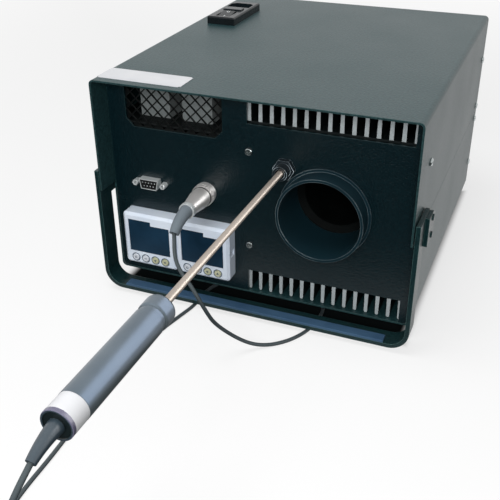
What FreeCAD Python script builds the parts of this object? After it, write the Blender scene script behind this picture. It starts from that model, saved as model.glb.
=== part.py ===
import FreeCAD, Part
import math
import os

# Portable dry-block temperature calibrator standing on its base feet, with its well facing forward.
# Millimetres. X runs to the right, Y to the rear, Z up; the floor is Z = 0 under the middle of the case.

V = FreeCAD.Vector

# Case
case_width = 256.0
case_depth = 302.0
case_height = 176.0
sheet = 1.5
fold_radius = 4.0
seam_height = 82.5
seam_gap = 0.4
hood_recess = 22.0
panel_thickness = 2.0
panel_fit = 0.2
panel_corner = 3.0
flange_length = 26.0
flange_inset = 8.0
foot_height = 13.0
foot_radius = 9.0
foot_flare = 1.5
foot_inset = 30.0
rear_foot_height = 12.0
rear_foot_inset = 17.0

# Screws
screw_radius = 1.5
screw_head_radius = 3.0
screw_head_height = 1.8
screw_length = 6.0
recess_length = 3.4
recess_width = 0.9
recess_depth = 1.0
hole_clearance = 0.1
dome_share = 0.6
screw_front_setback = 37.6
screw_front_height = 133.5
screw_rear_setback = 11.0
screw_rear_heights = (30.0, 77.0, 90.3, 136.6)

# Well and heat block
well_from_side = 72.0
well_height = 86.5
well_radius = 27.0
well_depth = 150.0
well_chamfer = 4.4
collar_radius = 34.2
collar_wall = 2.2
collar_front = 5.7
collar_root_radius = 36.5
collar_root_length = 2.0
block_setback = 29.0
block_half_width = 38.0
block_length = 170.0
module_thickness = 3.6
module_side = 40.0
module_pitch = 52.0
module_count = 3
insulation_half_width = 54.0
insulation_end = 14.0

# Heat sinks and their vents
sink_distance = 64.0
sink_plate = 9.5
sink_length = 214.0
fin_count = 15
fin_pitch = 9.0
fin_root = 3.2
fin_tip = 2.6
fin_clearance = 0.3
fin_setback = 2.0
vent_width = 127.2
upper_vent_sill = 62.8
upper_vent_height = 21.0
lower_vent_head = 64.7
bolt_radius = 2.0
bolt_head_radius = 2.7
bolt_head_height = 3.0
bolt_inset = 20.0

# Fan
fan_side = 120.0
fan_depth = 25.0
fan_bore = 57.5
fan_hole_pitch = 105.0
fan_hub_radius = 19.0
fan_hub_plate = 4.0
fan_corner = 4.0
fan_axle_setback = 3.0
rotor_gap = 0.5
blade_root = 3.0
fan_axle_radius = 2.5
running_fit = 0.05
blade_count = 7
blade_chord = 20.0
blade_thickness = 2.0
blade_pitch_deg = 35.0
blade_clearance = 2.0
guard_wire = 1.2
guard_overhang = 2.5
guard_ring_pitch = 13.0
guard_ring_count = 4
guard_head_radius = 3.5
guard_eye_radius = 4.3

# Inner partition and electronics
partition_from_well = 70.0
partition_length = 190.0
partition_flange = 13.0
shelf_height = 137.0
supply_from_side = 21.0
supply_setback = 16.0
supply_width = 26.0
supply_pitch = 37.0
supply_length = 95.0
supply_headroom = 2.5
supply_count = 2
supply_edge = 1.0
panel_screw_from_well = 62.0
panel_screw_spread = 40.7
board_length = 86.0
board_width = 90.0
board_thickness = 1.6
board_standoff = 8.0
board_setback = 8.0
board_gap = 6.0
board_leg_inset = 6.0
board_leg_radius = 3.0
chip_count = 3
chip_pitch = 24.0
chip_inset = 12.0
chip_depth = 14.0
chip_width = 16.0
chip_height = 4.0

# Vent mesh
mesh_from_side = 17.0
mesh_width = 83.5
mesh_sill = 133.8
mesh_height = 36.0
mesh_corner = 6.5
mesh_pitch = 9.4
mesh_wire = 1.0
mesh_border = 4.0

# Controllers
controller_side = 48.0
controller_gap = 0.5
controller_from_side = 12.5
controller_height = 37.8
bezel_depth = 13.0
bezel_bevel = 2.2
bezel_corner = 3.0
sleeve_side = 44.8
sleeve_length = 90.0
sleeve_fit = 0.3
display_width = 37.4
display_height = 29.5
display_drop = 6.0
display_depth = 1.6
display_fit = 0.2
display_thickness = 1.2
tab_width = 17.0
tab_height = 3.4
clip_radius = 4.0
clip_depth = 1.2
button_radius = 2.9
button_gap = 0.3
button_length = 3.4
button_proud = 0.7
button_pocket = 4.2
button_pitch = 9.2
button_rise = 6.6

# Serial socket
serial_from_side = 35.75
serial_height = 87.0
post_spacing = 24.99
post_radius = 2.5
post_bore = 1.42
post_length = 6.0
serial_flange_width = 31.0
serial_flange_height = 12.6
serial_flange = 1.0
serial_shell_width = 17.0
serial_shell_height = 8.6
serial_shell_slope = 1.5
serial_shell_wall = 0.5
serial_shell_proud = 6.0
serial_depth = 9.0
contact_radius = 0.6
contact_pitch = 2.77
contact_rise = 1.42
contact_depth = 5.0
insert_setback = 0.3
post_wall = 0.5
post_tail = 2.0

# Sensor socket and plug
socket_from_side = 84.9
socket_height = 86.5
socket_flange_radius = 8.8
socket_flange = 2.0
socket_barrel_radius = 7.2
socket_barrel_length = 5.5
socket_tail = 12.0
ring_radius = 9.2
ring_gap = 0.3
ring_start = 0.7
ring_length = 5.4
ring_flutes = 24
ring_flute_radius = 0.45
ring_plain_end = 2.0
shell_front_radius = 7.9
shell_end_radius = 5.6
shell_length = 27.6
shell_collar = 7.7
shell_lip = 0.5
shell_lip_length = 3.4
plug_boot_radius = 5.2
plug_boot_tip = 3.9
plug_boot_length = 23.8
plug_boot_turn = 42.0
plug_mouth_radius = 2.9
plug_mouth_depth = 1.5

# Probe, its pocket and its gland
probe_left = 32.6
probe_rise = 31.7
stem_radius = 2.5
stem_in_block = 112.0
pocket_spare = 2.0
gland_bore = 3.8
gland_radius = 5.7
gland_length = 12.0
gland_tail = 10.0
gland_flats = 15.0
gland_nut = 4.5
cap_front = 198.5
cap_length = 12.2
cap_radius = 9.4
cap_nose_round = 3.0
cap_rear_round = 1.6
stem_in_cap = 8.0
stem_end_round = 1.0
handle_radius = 9.1
handle_wall = 2.0
handle_length = 75.8
handle_groove = 0.6
handle_groove_length = 3.0
band_length = 11.5
band_thickness = 0.5
band_fit = 0.02
bush_radius = 9.0
bush_length = 2.4
bush_spigot = 6.0
bush_rim = 1.5
bush_dish = 0.8
bush_round = 0.6
probe_boot_radius = 4.4
probe_boot_tip = 2.7
probe_boot_length = 20.8
probe_boot_turn = 22.0

# Carry strap
strap_width = 16.8
strap_thickness = 3.4
strap_setback = 0.6
strap_side_gap = 1.0
strap_drop = 8.7
strap_bend = 16.0
pivot_setback = 30.0
pivot_height = 87.0
lug_radius = 12.5
stud_radius = 3.5
stud_nut_radius = 5.6
stud_nut = 3.0
stud_in_plate = 1.8
washer_radius = 9.0
washer_fit = 0.05
plate_thickness = 3.0
plate_radius = 11.5
rivet_spread = 7.2
rivet_radius = 1.6
rivet_head_radius = 2.6
rivet_head = 1.2
grip_length = 226.0
grip_width = 8.8
grip_thickness = 2.0
grip_edge = 0.6

# Mains module on the top face
inlet_from_side = 28.5
inlet_from_front = 215.0
inlet_width = 27.0
inlet_length = 64.0
inlet_flange = 7.0
inlet_margin = 2.5
inlet_depth = 20.0
inlet_edge = 1.5
rocker_width = 12.0
rocker_length = 18.0
rocker_well = 12.0
rocker_tilt_deg = 8.0
rocker_gap = 0.9
rocker_rise = 2.5
rocker_thickness = 6.5
rocker_edge = 1.5
rocker_bearing = 2.0
rocker_pin_radius = 1.5
rocker_from_front = 14.0
drawer_width = 18.0
drawer_length = 8.0
drawer_depth = 18.0
drawer_gap = 0.3
drawer_lip = 1.2
drawer_edge = 0.6
drawer_from_front = 31.0
plug_recess_width = 22.4
plug_recess_length = 16.0
plug_recess_depth = 17.0
plug_recess_corner = 4.0
plug_recess_from_front = 49.0
pin_width = 2.0
pin_length = 4.0
pin_height = 11.0
pin_spread = 7.0
pin_offset = 2.0

# Probe lead
cord_radius = 1.5
bend_share = 0.45
lead_tail = 2.0

# Cutters run past the faces that they open.
over = 1.0

# Reference planes and axes
half_width = case_width / 2
wall_in = half_width - sheet
front_y = -case_depth / 2
rear_y = case_depth / 2
base_z = foot_height
floor_z = base_z + sheet
top_z = base_z + case_height
ceiling_z = top_z - sheet
seam_z = base_z + seam_height
panel_y = front_y + hood_recess
panel_back = panel_y + panel_thickness
rear_panel_y = rear_y - panel_thickness
well_x = half_width - well_from_side
well_z = base_z + well_height
probe_x = well_x - probe_left
probe_z = well_z + probe_rise
socket_x = -half_width + socket_from_side
socket_z = base_z + socket_height
pivot_y = front_y + pivot_setback
pivot_z = base_z + pivot_height
hole_radius = screw_radius + hole_clearance


def box(x0, x1, y0, y1, z0, z1):
    return Part.makeBox(x1 - x0, y1 - y0, z1 - z0, V(x0, y0, z0))


def rod_x(x0, x1, y, z, radius):
    return Part.makeCylinder(radius, x1 - x0, V(x0, y, z), V(1, 0, 0))


def rod_y(y0, y1, x, z, radius):
    return Part.makeCylinder(radius, y1 - y0, V(x, y0, z), V(0, 1, 0))


def rod_z(z0, z1, x, y, radius):
    return Part.makeCylinder(radius, z1 - z0, V(x, y, z0), V(0, 0, 1))


def prism(points, along):
    """Straight prism over a closed outline of points."""
    outline = Part.makePolygon(list(points) + [points[0]])
    return Part.Face(outline).extrude(along)


def fillet(solid, radius, chosen):
    """Round the edges whose middle point passes the test."""
    edges = [edge for edge in solid.Edges if chosen(edge.CenterOfMass)]
    return solid.makeFillet(radius, edges)


def chamfer(solid, size, chosen):
    edges = [edge for edge in solid.Edges if chosen(edge.CenterOfMass)]
    return solid.makeChamfer(size, edges)


def near(a, b):
    return abs(a - b) < 0.01


def turned(profile, x, z):
    """Solid of revolution about a line along Y, from (radius, y) points."""
    points = [V(x + radius, y, z) for radius, y in profile]
    face = Part.Face(Part.makePolygon(points + [points[0]]))
    return face.revolve(V(x, 0, z), V(0, 1, 0), 360)


def side_pair(solid):
    """A solid on the right side of the case and its mirror image on the left."""
    return [solid, solid.mirror(V(0, 0, 0), V(1, 0, 0))]


def drooping_cone(start, length, turn_deg, radius, tip_radius):
    """Boot that leaves along -Y, bends downwards and narrows; gives the solid and its tip point."""
    bend = length / math.radians(turn_deg)
    stations = 7
    circles = []
    for station in range(stations):
        share = station / (stations - 1)
        angle = math.radians(turn_deg) * share
        centre = start + V(0, -bend * math.sin(angle), -bend * (1 - math.cos(angle)))
        heading = V(0, -math.cos(angle), -math.sin(angle))
        size = radius + (tip_radius - radius) * share
        circles.append(Part.Wire(Part.Circle(centre, heading, size).toShape()))
    return Part.makeLoft(circles, True), centre


def cross_recess(x, y, z, along_x):
    """Cross-shaped cutter for the driver recess of a screw whose head ends at this point."""
    arms = []
    for wide, tall in ((recess_length, recess_width), (recess_width, recess_length)):
        half_x, half_y = (recess_depth, wide / 2) if along_x else (wide / 2, recess_depth)
        arms.append(box(x - half_x, x + half_x, y - half_y, y + half_y, z - tall / 2, z + tall / 2))
    return Part.makeCompound(arms)


def save(name, shape):
    if not shape.isValid():
        raise ValueError(name + " is not a valid shape")
    shape.exportStep("parts/" + name + ".step")
    solids = len(shape.Solids)
    print("%-24s %2d solid(s) %10.1f mm3" % (name, solids, shape.Volume))


os.makedirs("parts", exist_ok=True)

# Case screws: low domed heads on both sides of the case, threaded into the flanges of the panels.
side_screw_points = [(front_y + screw_front_setback, base_z + screw_front_height)]
for height in screw_rear_heights:
    side_screw_points.append((rear_y - screw_rear_setback, base_z + height))
side_screws = []
side_holes = []
for screw_y, screw_z in side_screw_points:
    head = rod_x(half_width, half_width + screw_head_height, screw_y, screw_z, screw_head_radius)
    rim_x = half_width + screw_head_height
    head = fillet(head, screw_head_height * dome_share, lambda c: near(c.x, rim_x))
    head = head.cut(cross_recess(rim_x, screw_y, screw_z, True))
    shank = rod_x(half_width - screw_length, half_width, screw_y, screw_z, screw_radius)
    side_screws += side_pair(head.fuse(shank))
    reach = half_width - screw_length - over
    side_holes += side_pair(rod_x(reach, half_width + over, screw_y, screw_z, hole_radius))
side_holes = Part.makeCompound(side_holes)
save("case_screws", Part.makeCompound(side_screws))

# Pivot studs: shouldered studs through the sides of the case, nutted on the inside.
strap_in = half_width + strap_side_gap
strap_out = strap_in + strap_thickness
nut_face = wall_in - panel_fit - panel_thickness
stud_end = strap_out + stud_in_plate
stud = rod_x(nut_face, stud_end, pivot_y, pivot_z, stud_radius)
stud = stud.fuse(rod_x(nut_face - stud_nut, nut_face, pivot_y, pivot_z, stud_nut_radius))
save("pivot_studs", Part.makeCompound(side_pair(stud)))
stud_hole_radius = stud_radius + hole_clearance
stud_holes = Part.makeCompound(side_pair(
    rod_x(nut_face - over, half_width + over, pivot_y, pivot_z, stud_hole_radius)))

# Pivot washers: slip rings that keep the strap off the paint.
washer_end = strap_in - washer_fit
washer = rod_x(half_width, washer_end, pivot_y, pivot_z, washer_radius)
washer = washer.cut(rod_x(half_width - over, strap_in, pivot_y, pivot_z, stud_hole_radius))
save("pivot_washers", Part.makeCompound(side_pair(washer)))

# Upper cover: inverted channel of folded sheet; its front end overhangs the panel as a hood.
inlet_x = -half_width + inlet_from_side
inlet_front = front_y + inlet_from_front - inlet_length / 2
inlet_rear = inlet_front + inlet_length
inlet_left = inlet_x - inlet_width / 2
inlet_right = inlet_x + inlet_width / 2
cover_low = seam_z + seam_gap / 2
cover = box(-half_width, half_width, front_y, rear_y, cover_low, top_z)
cover = fillet(cover, fold_radius, lambda c: near(abs(c.x), half_width) and near(c.z, top_z))
hollow = box(-wall_in, wall_in, front_y - over, rear_y + over, cover_low - over, ceiling_z)
hollow = fillet(hollow, fold_radius - sheet, lambda c: near(abs(c.x), wall_in) and near(c.z, ceiling_z))
body_left = inlet_left + inlet_margin
body_right = inlet_right - inlet_margin
body_front = inlet_front + inlet_margin
body_rear = inlet_rear - inlet_margin
inlet_cutout = box(body_left - panel_fit, body_right + panel_fit,
                   body_front - panel_fit, body_rear + panel_fit, ceiling_z - over, top_z + over)
cover = cover.cut(hollow).cut(inlet_cutout).cut(side_holes).cut(stud_holes)
save("upper_cover", cover)

# Lower tray: folded channel under the cover, from the front panel to the rear panel.
tray_high = seam_z - seam_gap / 2
tray = box(-half_width, half_width, panel_y, rear_y, base_z, tray_high)
tray = fillet(tray, fold_radius, lambda c: near(abs(c.x), half_width) and near(c.z, base_z))
hollow = box(-wall_in, wall_in, panel_y - over, rear_y + over, floor_z, tray_high + over)
hollow = fillet(hollow, fold_radius - sheet, lambda c: near(abs(c.x), wall_in) and near(c.z, floor_z))
tray = tray.cut(hollow).cut(side_holes)
save("lower_tray", tray)

# Base feet and rear feet: rubber cones, so that the unit lies flat or stands on its rear.
base_feet = []
for foot_x in (-half_width + foot_inset, half_width - foot_inset):
    for foot_y in (panel_y + foot_inset, rear_y - foot_inset):
        foot = Part.makeCone(foot_radius, foot_radius + foot_flare, foot_height, V(foot_x, foot_y, 0))
        base_feet.append(foot)
save("base_feet", Part.makeCompound(base_feet))
rear_feet = []
for foot_x in (-half_width + rear_foot_inset, half_width - rear_foot_inset):
    for foot_z in (base_z + rear_foot_inset, top_z - rear_foot_inset):
        foot = Part.makeCone(foot_radius + foot_flare, foot_radius, rear_foot_height,
                             V(foot_x, rear_y, foot_z), V(0, 1, 0))
        rear_feet.append(foot)
save("rear_feet", Part.makeCompound(rear_feet))


def folded_panel(face_y, back_y, flange_end):
    """Panel plate with two side flanges that lie against the side walls of the case."""
    edge = wall_in - panel_fit
    low = floor_z + panel_fit
    high = ceiling_z - panel_fit
    plate = box(-edge, edge, min(face_y, back_y), max(face_y, back_y), low, high)
    plate = fillet(plate, panel_corner, lambda c: near(abs(c.x), edge)
                   and (near(c.z, low) or near(c.z, high)))
    near_y = min(back_y, flange_end)
    far_y = max(back_y, flange_end)
    flange = box(edge - panel_thickness, edge, near_y, far_y, low + flange_inset, high - flange_inset)
    for wing in side_pair(flange):
        plate = plate.fuse(wing)
    return plate


# Front panel: recessed plate that carries the collar, gland, sockets and controllers.
controller_x = [-half_width + controller_from_side + controller_side / 2]
controller_x.append(controller_x[0] + controller_side + controller_gap)
controller_z = base_z + controller_height
serial_x = -half_width + serial_from_side
serial_z = base_z + serial_height
mesh_x0 = -half_width + mesh_from_side
mesh_x1 = mesh_x0 + mesh_width
mesh_z0 = base_z + mesh_sill
mesh_z1 = mesh_z0 + mesh_height
vent_x0 = well_x - vent_width / 2
vent_x1 = well_x + vent_width / 2
cut_y0 = panel_y - over
cut_y1 = panel_back + over
panel = folded_panel(panel_y, panel_back, panel_y + flange_length)
openings = [
    box(vent_x0, vent_x1, cut_y0, cut_y1,
        well_z + upper_vent_sill, well_z + upper_vent_sill + upper_vent_height),
    box(vent_x0, vent_x1, cut_y0, cut_y1, base_z, well_z - lower_vent_head),
    rod_y(cut_y0, cut_y1, well_x, well_z, collar_radius + hole_clearance),
    rod_y(cut_y0, cut_y1, probe_x, probe_z, gland_radius + hole_clearance),
    rod_y(cut_y0, cut_y1, socket_x, socket_z, socket_barrel_radius + hole_clearance),
    prism([V(mesh_x0, cut_y0, mesh_z0 + mesh_corner), V(mesh_x0 + mesh_corner, cut_y0, mesh_z0),
           V(mesh_x1 - mesh_corner, cut_y0, mesh_z0), V(mesh_x1, cut_y0, mesh_z0 + mesh_corner),
           V(mesh_x1, cut_y0, mesh_z1), V(mesh_x0, cut_y0, mesh_z1)], V(0, cut_y1 - cut_y0, 0)),
]
sleeve_half = sleeve_side / 2
for centre_x in controller_x:
    reach = sleeve_half + sleeve_fit
    openings.append(box(centre_x - reach, centre_x + reach, cut_y0, cut_y1,
                        controller_z - reach, controller_z + reach))
serial_body_half = serial_shell_width / 2
serial_body_rise = serial_shell_height / 2
openings.append(box(serial_x - serial_body_half - panel_fit, serial_x + serial_body_half + panel_fit,
                    cut_y0, cut_y1,
                    serial_z - serial_body_rise - panel_fit, serial_z + serial_body_rise + panel_fit))
for side in (-1, 1):
    openings.append(rod_y(cut_y0, cut_y1, serial_x + side * post_spacing / 2, serial_z, hole_radius))
front_screw_points = [(well_x - panel_screw_from_well, well_z - panel_screw_spread),
                      (well_x - panel_screw_from_well, well_z + panel_screw_spread)]
for screw_x, screw_z in front_screw_points:
    openings.append(rod_y(cut_y0, cut_y1, screw_x, screw_z, hole_radius))
for opening in openings:
    panel = panel.cut(opening)
panel = panel.cut(side_holes).cut(stud_holes)
save("front_panel", panel)

# Rear panel: plate behind the fan, with an air opening inside the finger guard.
fan_points = []
for step_x in (-0.5, 0.5):
    for step_z in (-0.5, 0.5):
        fan_points.append((well_x + step_x * fan_hole_pitch, well_z + step_z * fan_hole_pitch))
fan_hole_radius = bolt_radius + hole_clearance
fan_front = rear_panel_y - fan_depth
fan_holes = Part.makeCompound([
    rod_y(fan_front - over, rear_y + guard_wire * 2 + over, hole_x, hole_z, fan_hole_radius)
    for hole_x, hole_z in fan_points])
rear_panel = folded_panel(rear_y, rear_panel_y, rear_y - flange_length)
rear_panel = rear_panel.cut(rod_y(rear_panel_y - over, rear_y + over, well_x, well_z, fan_bore))
rear_panel = rear_panel.cut(fan_holes).cut(side_holes)
save("rear_panel", rear_panel)

# Inner partition: folded sheet between the electronics and the thermal bay, with a shelf on top.
wall_x = well_x - partition_from_well
shelf_z = base_z + shelf_height
shelf_left = -wall_in + panel_fit + panel_thickness + panel_fit
flange_low = well_z - panel_screw_spread - screw_head_radius * 2
flange_high = well_z + panel_screw_spread + screw_head_radius * 2
partition_end = panel_back + partition_length
partition = box(wall_x - sheet, wall_x, panel_back, partition_end, floor_z, shelf_z)
partition = partition.fuse(box(wall_x, wall_x + partition_flange, panel_back, panel_back + sheet,
                               flange_low, flange_high))
shelf_front = panel_back + mesh_wire + panel_fit
partition = partition.fuse(box(shelf_left, wall_x, shelf_front, partition_end, shelf_z - sheet, shelf_z))
for screw_x, screw_z in front_screw_points:
    partition = partition.cut(rod_y(panel_back - over, panel_back + sheet + over,
                                    screw_x, screw_z, hole_radius))
save("inner_partition", partition)

# Panel screws: two through the front panel into the partition, four through guard, panel and fan.
panel_screws = []
front_head_end = panel_y - screw_head_height
for screw_x, screw_z in front_screw_points:
    head = rod_y(front_head_end, panel_y, screw_x, screw_z, screw_head_radius)
    head = fillet(head, screw_head_height * dome_share, lambda c: near(c.y, front_head_end))
    head = head.cut(cross_recess(screw_x, front_head_end, screw_z, False))
    panel_screws.append(head.fuse(rod_y(panel_y, panel_y + screw_length, screw_x, screw_z, screw_radius)))
guard_face = rear_y + guard_wire * 2
guard_head_end = guard_face + bolt_head_height
for screw_x, screw_z in fan_points:
    head = rod_y(guard_face, guard_head_end, screw_x, screw_z, guard_head_radius)
    head = fillet(head, screw_head_height * dome_share, lambda c: near(c.y, guard_head_end))
    head = head.cut(cross_recess(screw_x, guard_head_end, screw_z, False))
    panel_screws.append(head.fuse(rod_y(fan_front, guard_face, screw_x, screw_z, bolt_radius)))
save("panel_screws", Part.makeCompound(panel_screws))

# Vent mesh: expanded metal sheet fixed behind the upper left opening.
mesh_back = panel_back + mesh_wire
mesh_high = min(mesh_z1 + mesh_border, ceiling_z - panel_fit)
mesh = box(mesh_x0 - mesh_border, mesh_x1 + mesh_border, panel_back, mesh_back,
           mesh_z0 - mesh_border, mesh_high)
reach = mesh_pitch / 2 - mesh_wire * 0.7
diamonds = []
columns = int(mesh_width / mesh_pitch) + 1
rows = int(mesh_height / mesh_pitch) + 1
for half_step in (0, 1):
    for column in range(columns):
        for row in range(rows):
            x = mesh_x0 + reach + (column + half_step / 2) * mesh_pitch
            z = mesh_z0 + reach + (row + half_step / 2) * mesh_pitch
            inside_x = x + reach < mesh_x1 + mesh_border - mesh_wire
            inside_z = z + reach < mesh_high - mesh_wire
            if inside_x and inside_z:
                y = panel_back - over
                diamonds.append(prism([V(x - reach, y, z), V(x, y, z - reach),
                                       V(x + reach, y, z), V(x, y, z + reach)],
                                      V(0, mesh_wire + 2 * over, 0)))
mesh = mesh.cut(Part.makeCompound(diamonds))
save("vent_mesh", mesh)

# Power supplies: two closed modules on the shelf, seen through the mesh.
supply_top = ceiling_z - supply_headroom
supplies = []
for place in range(supply_count):
    x = -half_width + supply_from_side + place * supply_pitch
    y = panel_back + supply_setback
    case = box(x, x + supply_width, y, y + supply_length, shelf_z, supply_top)
    supplies.append(fillet(case, supply_edge, lambda c: near(c.z, supply_top)))
save("power_supplies", Part.makeCompound(supplies))

# Control board: populated card on four legs behind the controllers.
board_x1 = wall_x - sheet - board_gap
board_x0 = board_x1 - board_width
board_y0 = panel_y + sleeve_length + board_setback
board_y1 = board_y0 + board_length
board_z = floor_z + board_standoff
board_top = board_z + board_thickness
board = box(board_x0, board_x1, board_y0, board_y1, board_z, board_top)
for leg_x in (board_x0 + board_leg_inset, board_x1 - board_leg_inset):
    for leg_y in (board_y0 + board_leg_inset, board_y1 - board_leg_inset):
        board = board.fuse(rod_z(floor_z, board_z, leg_x, leg_y, board_leg_radius))
for place in range(chip_count):
    chip_x = board_x0 + chip_inset
    chip_y = board_y0 + chip_inset + place * chip_pitch
    board = board.fuse(box(chip_x, chip_x + chip_width * (1 + place), chip_y, chip_y + chip_depth,
                           board_top, board_top + chip_height * (1 + place)))
save("control_board", board)

# Heat block: metal block with the well, and beside it the pocket of the reference probe.
block_y0 = panel_y + block_setback
block_y1 = block_y0 + block_length
block_rise = sink_distance - sink_plate - module_thickness
well_end = block_y0 + well_depth
pocket_end = block_y0 + stem_in_block + pocket_spare
block = box(well_x - block_half_width, well_x + block_half_width, block_y0, block_y1,
            well_z - block_rise, well_z + block_rise)
block = block.cut(rod_y(block_y0 - over, well_end, well_x, well_z, well_radius))
mouth = Part.makeCone(well_radius + well_chamfer, well_radius, well_chamfer,
                      V(well_x, block_y0, well_z), V(0, 1, 0))
block = block.cut(mouth)
block = block.cut(rod_y(block_y0 - over, pocket_end, probe_x, probe_z, stem_radius + running_fit))
save("heat_block", block)

# Well collar: black tube from the block out through the panel, with a flange on the panel face.
collar_tip = front_y + collar_front
collar = rod_y(collar_tip, block_y0, well_x, well_z, collar_radius)
collar = collar.fuse(rod_y(panel_y - collar_root_length, panel_y, well_x, well_z, collar_root_radius))
collar = collar.cut(rod_y(collar_tip - over, block_y0 + over, well_x, well_z, collar_radius - collar_wall))
save("well_collar", collar)

# Block insulation: foam jacket round the block, open above and below for the modules.
jacket_y0 = panel_back + sheet + panel_fit
jacket_y1 = block_y1 + insulation_end
jacket = box(well_x - insulation_half_width, well_x + insulation_half_width, jacket_y0, jacket_y1,
             well_z - block_rise, well_z + block_rise)
jacket = jacket.cut(box(well_x - block_half_width, well_x + block_half_width, block_y0, block_y1,
                        well_z - block_rise - over, well_z + block_rise + over))
jacket = jacket.cut(rod_y(jacket_y0 - over, block_y0 + over, well_x, well_z,
                          collar_radius + hole_clearance))
jacket = jacket.cut(rod_y(jacket_y0 - over, block_y0 + over, probe_x, probe_z, gland_radius + panel_fit))

# Clamp bolts: pull both heat sinks onto the modules; they stand in the channels between fins.
bolt_step = fin_pitch * (math.floor(insulation_half_width / fin_pitch) - 0.5)
bolt_low = well_z - sink_distance - bolt_head_height
bolt_high = well_z + sink_distance + bolt_head_height
bolts = []
bolt_holes = []
for bolt_x in (well_x - bolt_step, well_x + bolt_step):
    for bolt_y in (block_y0 + bolt_inset, block_y1 - bolt_inset):
        bolt = rod_z(bolt_low, bolt_high, bolt_x, bolt_y, bolt_radius)
        bolt = bolt.fuse(rod_z(bolt_low, bolt_low + bolt_head_height, bolt_x, bolt_y, bolt_head_radius))
        bolt = bolt.fuse(rod_z(bolt_high - bolt_head_height, bolt_high, bolt_x, bolt_y, bolt_head_radius))
        bolts.append(bolt)
        bolt_holes.append(rod_z(bolt_low, bolt_high, bolt_x, bolt_y, bolt_radius + hole_clearance))
bolt_holes = Part.makeCompound(bolt_holes)
save("clamp_bolts", Part.makeCompound(bolts))
save("block_insulation", jacket.cut(bolt_holes))

# Thermoelectric modules: one row of plates above the block and one below.
modules = []
for side in (-1, 1):
    for place in range(module_count):
        middle = (block_y0 + block_y1) / 2 + (place - (module_count - 1) / 2) * module_pitch
        inner_z = well_z + side * block_rise
        outer_z = well_z + side * (block_rise + module_thickness)
        modules.append(box(well_x - module_side / 2, well_x + module_side / 2,
                           middle - module_side / 2, middle + module_side / 2,
                           min(inner_z, outer_z), max(inner_z, outer_z)))
save("thermoelectric_modules", Part.makeCompound(modules))

# Heat sinks: extruded plates whose tapered fins stand behind the two vents of the front panel.
sink_y0 = panel_back + fin_setback
sink_y1 = sink_y0 + sink_length
fin_length = well_height - sink_distance - sheet - fin_clearance
sink_half = (fin_count - 1) / 2 * fin_pitch + fin_root / 2
for name, side in (("upper_heat_sink", 1), ("lower_heat_sink", -1)):
    plate_in = well_z + side * (sink_distance - sink_plate)
    plate_out = well_z + side * sink_distance
    tip_z = plate_out + side * (fin_length - fin_tip / 2)
    sink = box(well_x - sink_half, well_x + sink_half, sink_y0, sink_y1,
               min(plate_in, plate_out), max(plate_in, plate_out))
    for place in range(fin_count):
        x = well_x + (place - (fin_count - 1) / 2) * fin_pitch
        fin = prism([V(x - fin_root / 2, sink_y0, plate_out), V(x + fin_root / 2, sink_y0, plate_out),
                     V(x + fin_tip / 2, sink_y0, tip_z), V(x - fin_tip / 2, sink_y0, tip_z)],
                    V(0, sink_length, 0))
        sink = sink.fuse(fin.fuse(rod_y(sink_y0, sink_y1, x, tip_z, fin_tip / 2)))
    save(name, sink.cut(bolt_holes).removeSplitter())

# Fan frame: square ring with a hub plate on four arms and a fixed axle.
fan_half = fan_side / 2
frame = box(well_x - fan_half, well_x + fan_half, fan_front, rear_panel_y,
            well_z - fan_half, well_z + fan_half)
frame = fillet(frame, fan_corner, lambda c: near(abs(c.x - well_x), fan_half)
               and near(abs(c.z - well_z), fan_half))
frame = frame.cut(rod_y(fan_front - over, rear_panel_y + over, well_x, well_z, fan_bore))
hub_y = rear_panel_y - fan_hub_plate
arm = box(-fan_hub_plate / 2, fan_hub_plate / 2, hub_y, rear_panel_y, 0, fan_bore + over)
for quarter in range(4):
    turned_arm = arm.copy()
    turned_arm.rotate(V(0, 0, 0), V(0, 1, 0), 90 * quarter)
    turned_arm.translate(V(well_x, 0, well_z))
    frame = frame.fuse(turned_arm)
frame = frame.fuse(rod_y(hub_y, rear_panel_y, well_x, well_z, fan_hub_radius))
axle_y = fan_front + fan_axle_setback
frame = frame.fuse(rod_y(axle_y, hub_y, well_x, well_z, fan_axle_radius))
save("fan_frame", frame.cut(fan_holes))

# Fan rotor: hub with pitched blades, turning on the axle.
rotor_y0 = axle_y + rotor_gap
rotor_y1 = hub_y - rotor_gap
blade_reach = fan_bore - blade_clearance
rotor = rod_y(rotor_y0, rotor_y1, well_x, well_z, fan_hub_radius - rotor_gap)
for place in range(blade_count):
    blade = box(-blade_thickness / 2, blade_thickness / 2, -blade_chord / 2, blade_chord / 2,
                fan_hub_radius - blade_root, blade_reach)
    blade.rotate(V(0, 0, 0), V(0, 0, 1), 90 - blade_pitch_deg)
    blade.rotate(V(0, 0, 0), V(0, 1, 0), 360 / blade_count * place)
    blade.translate(V(well_x, (rotor_y0 + rotor_y1) / 2, well_z))
    rotor = rotor.fuse(blade)
rotor = rotor.cut(rod_y(rotor_y0 - over, rotor_y1 + over, well_x, well_z, fan_axle_radius + running_fit))
save("fan_rotor", rotor)

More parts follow.
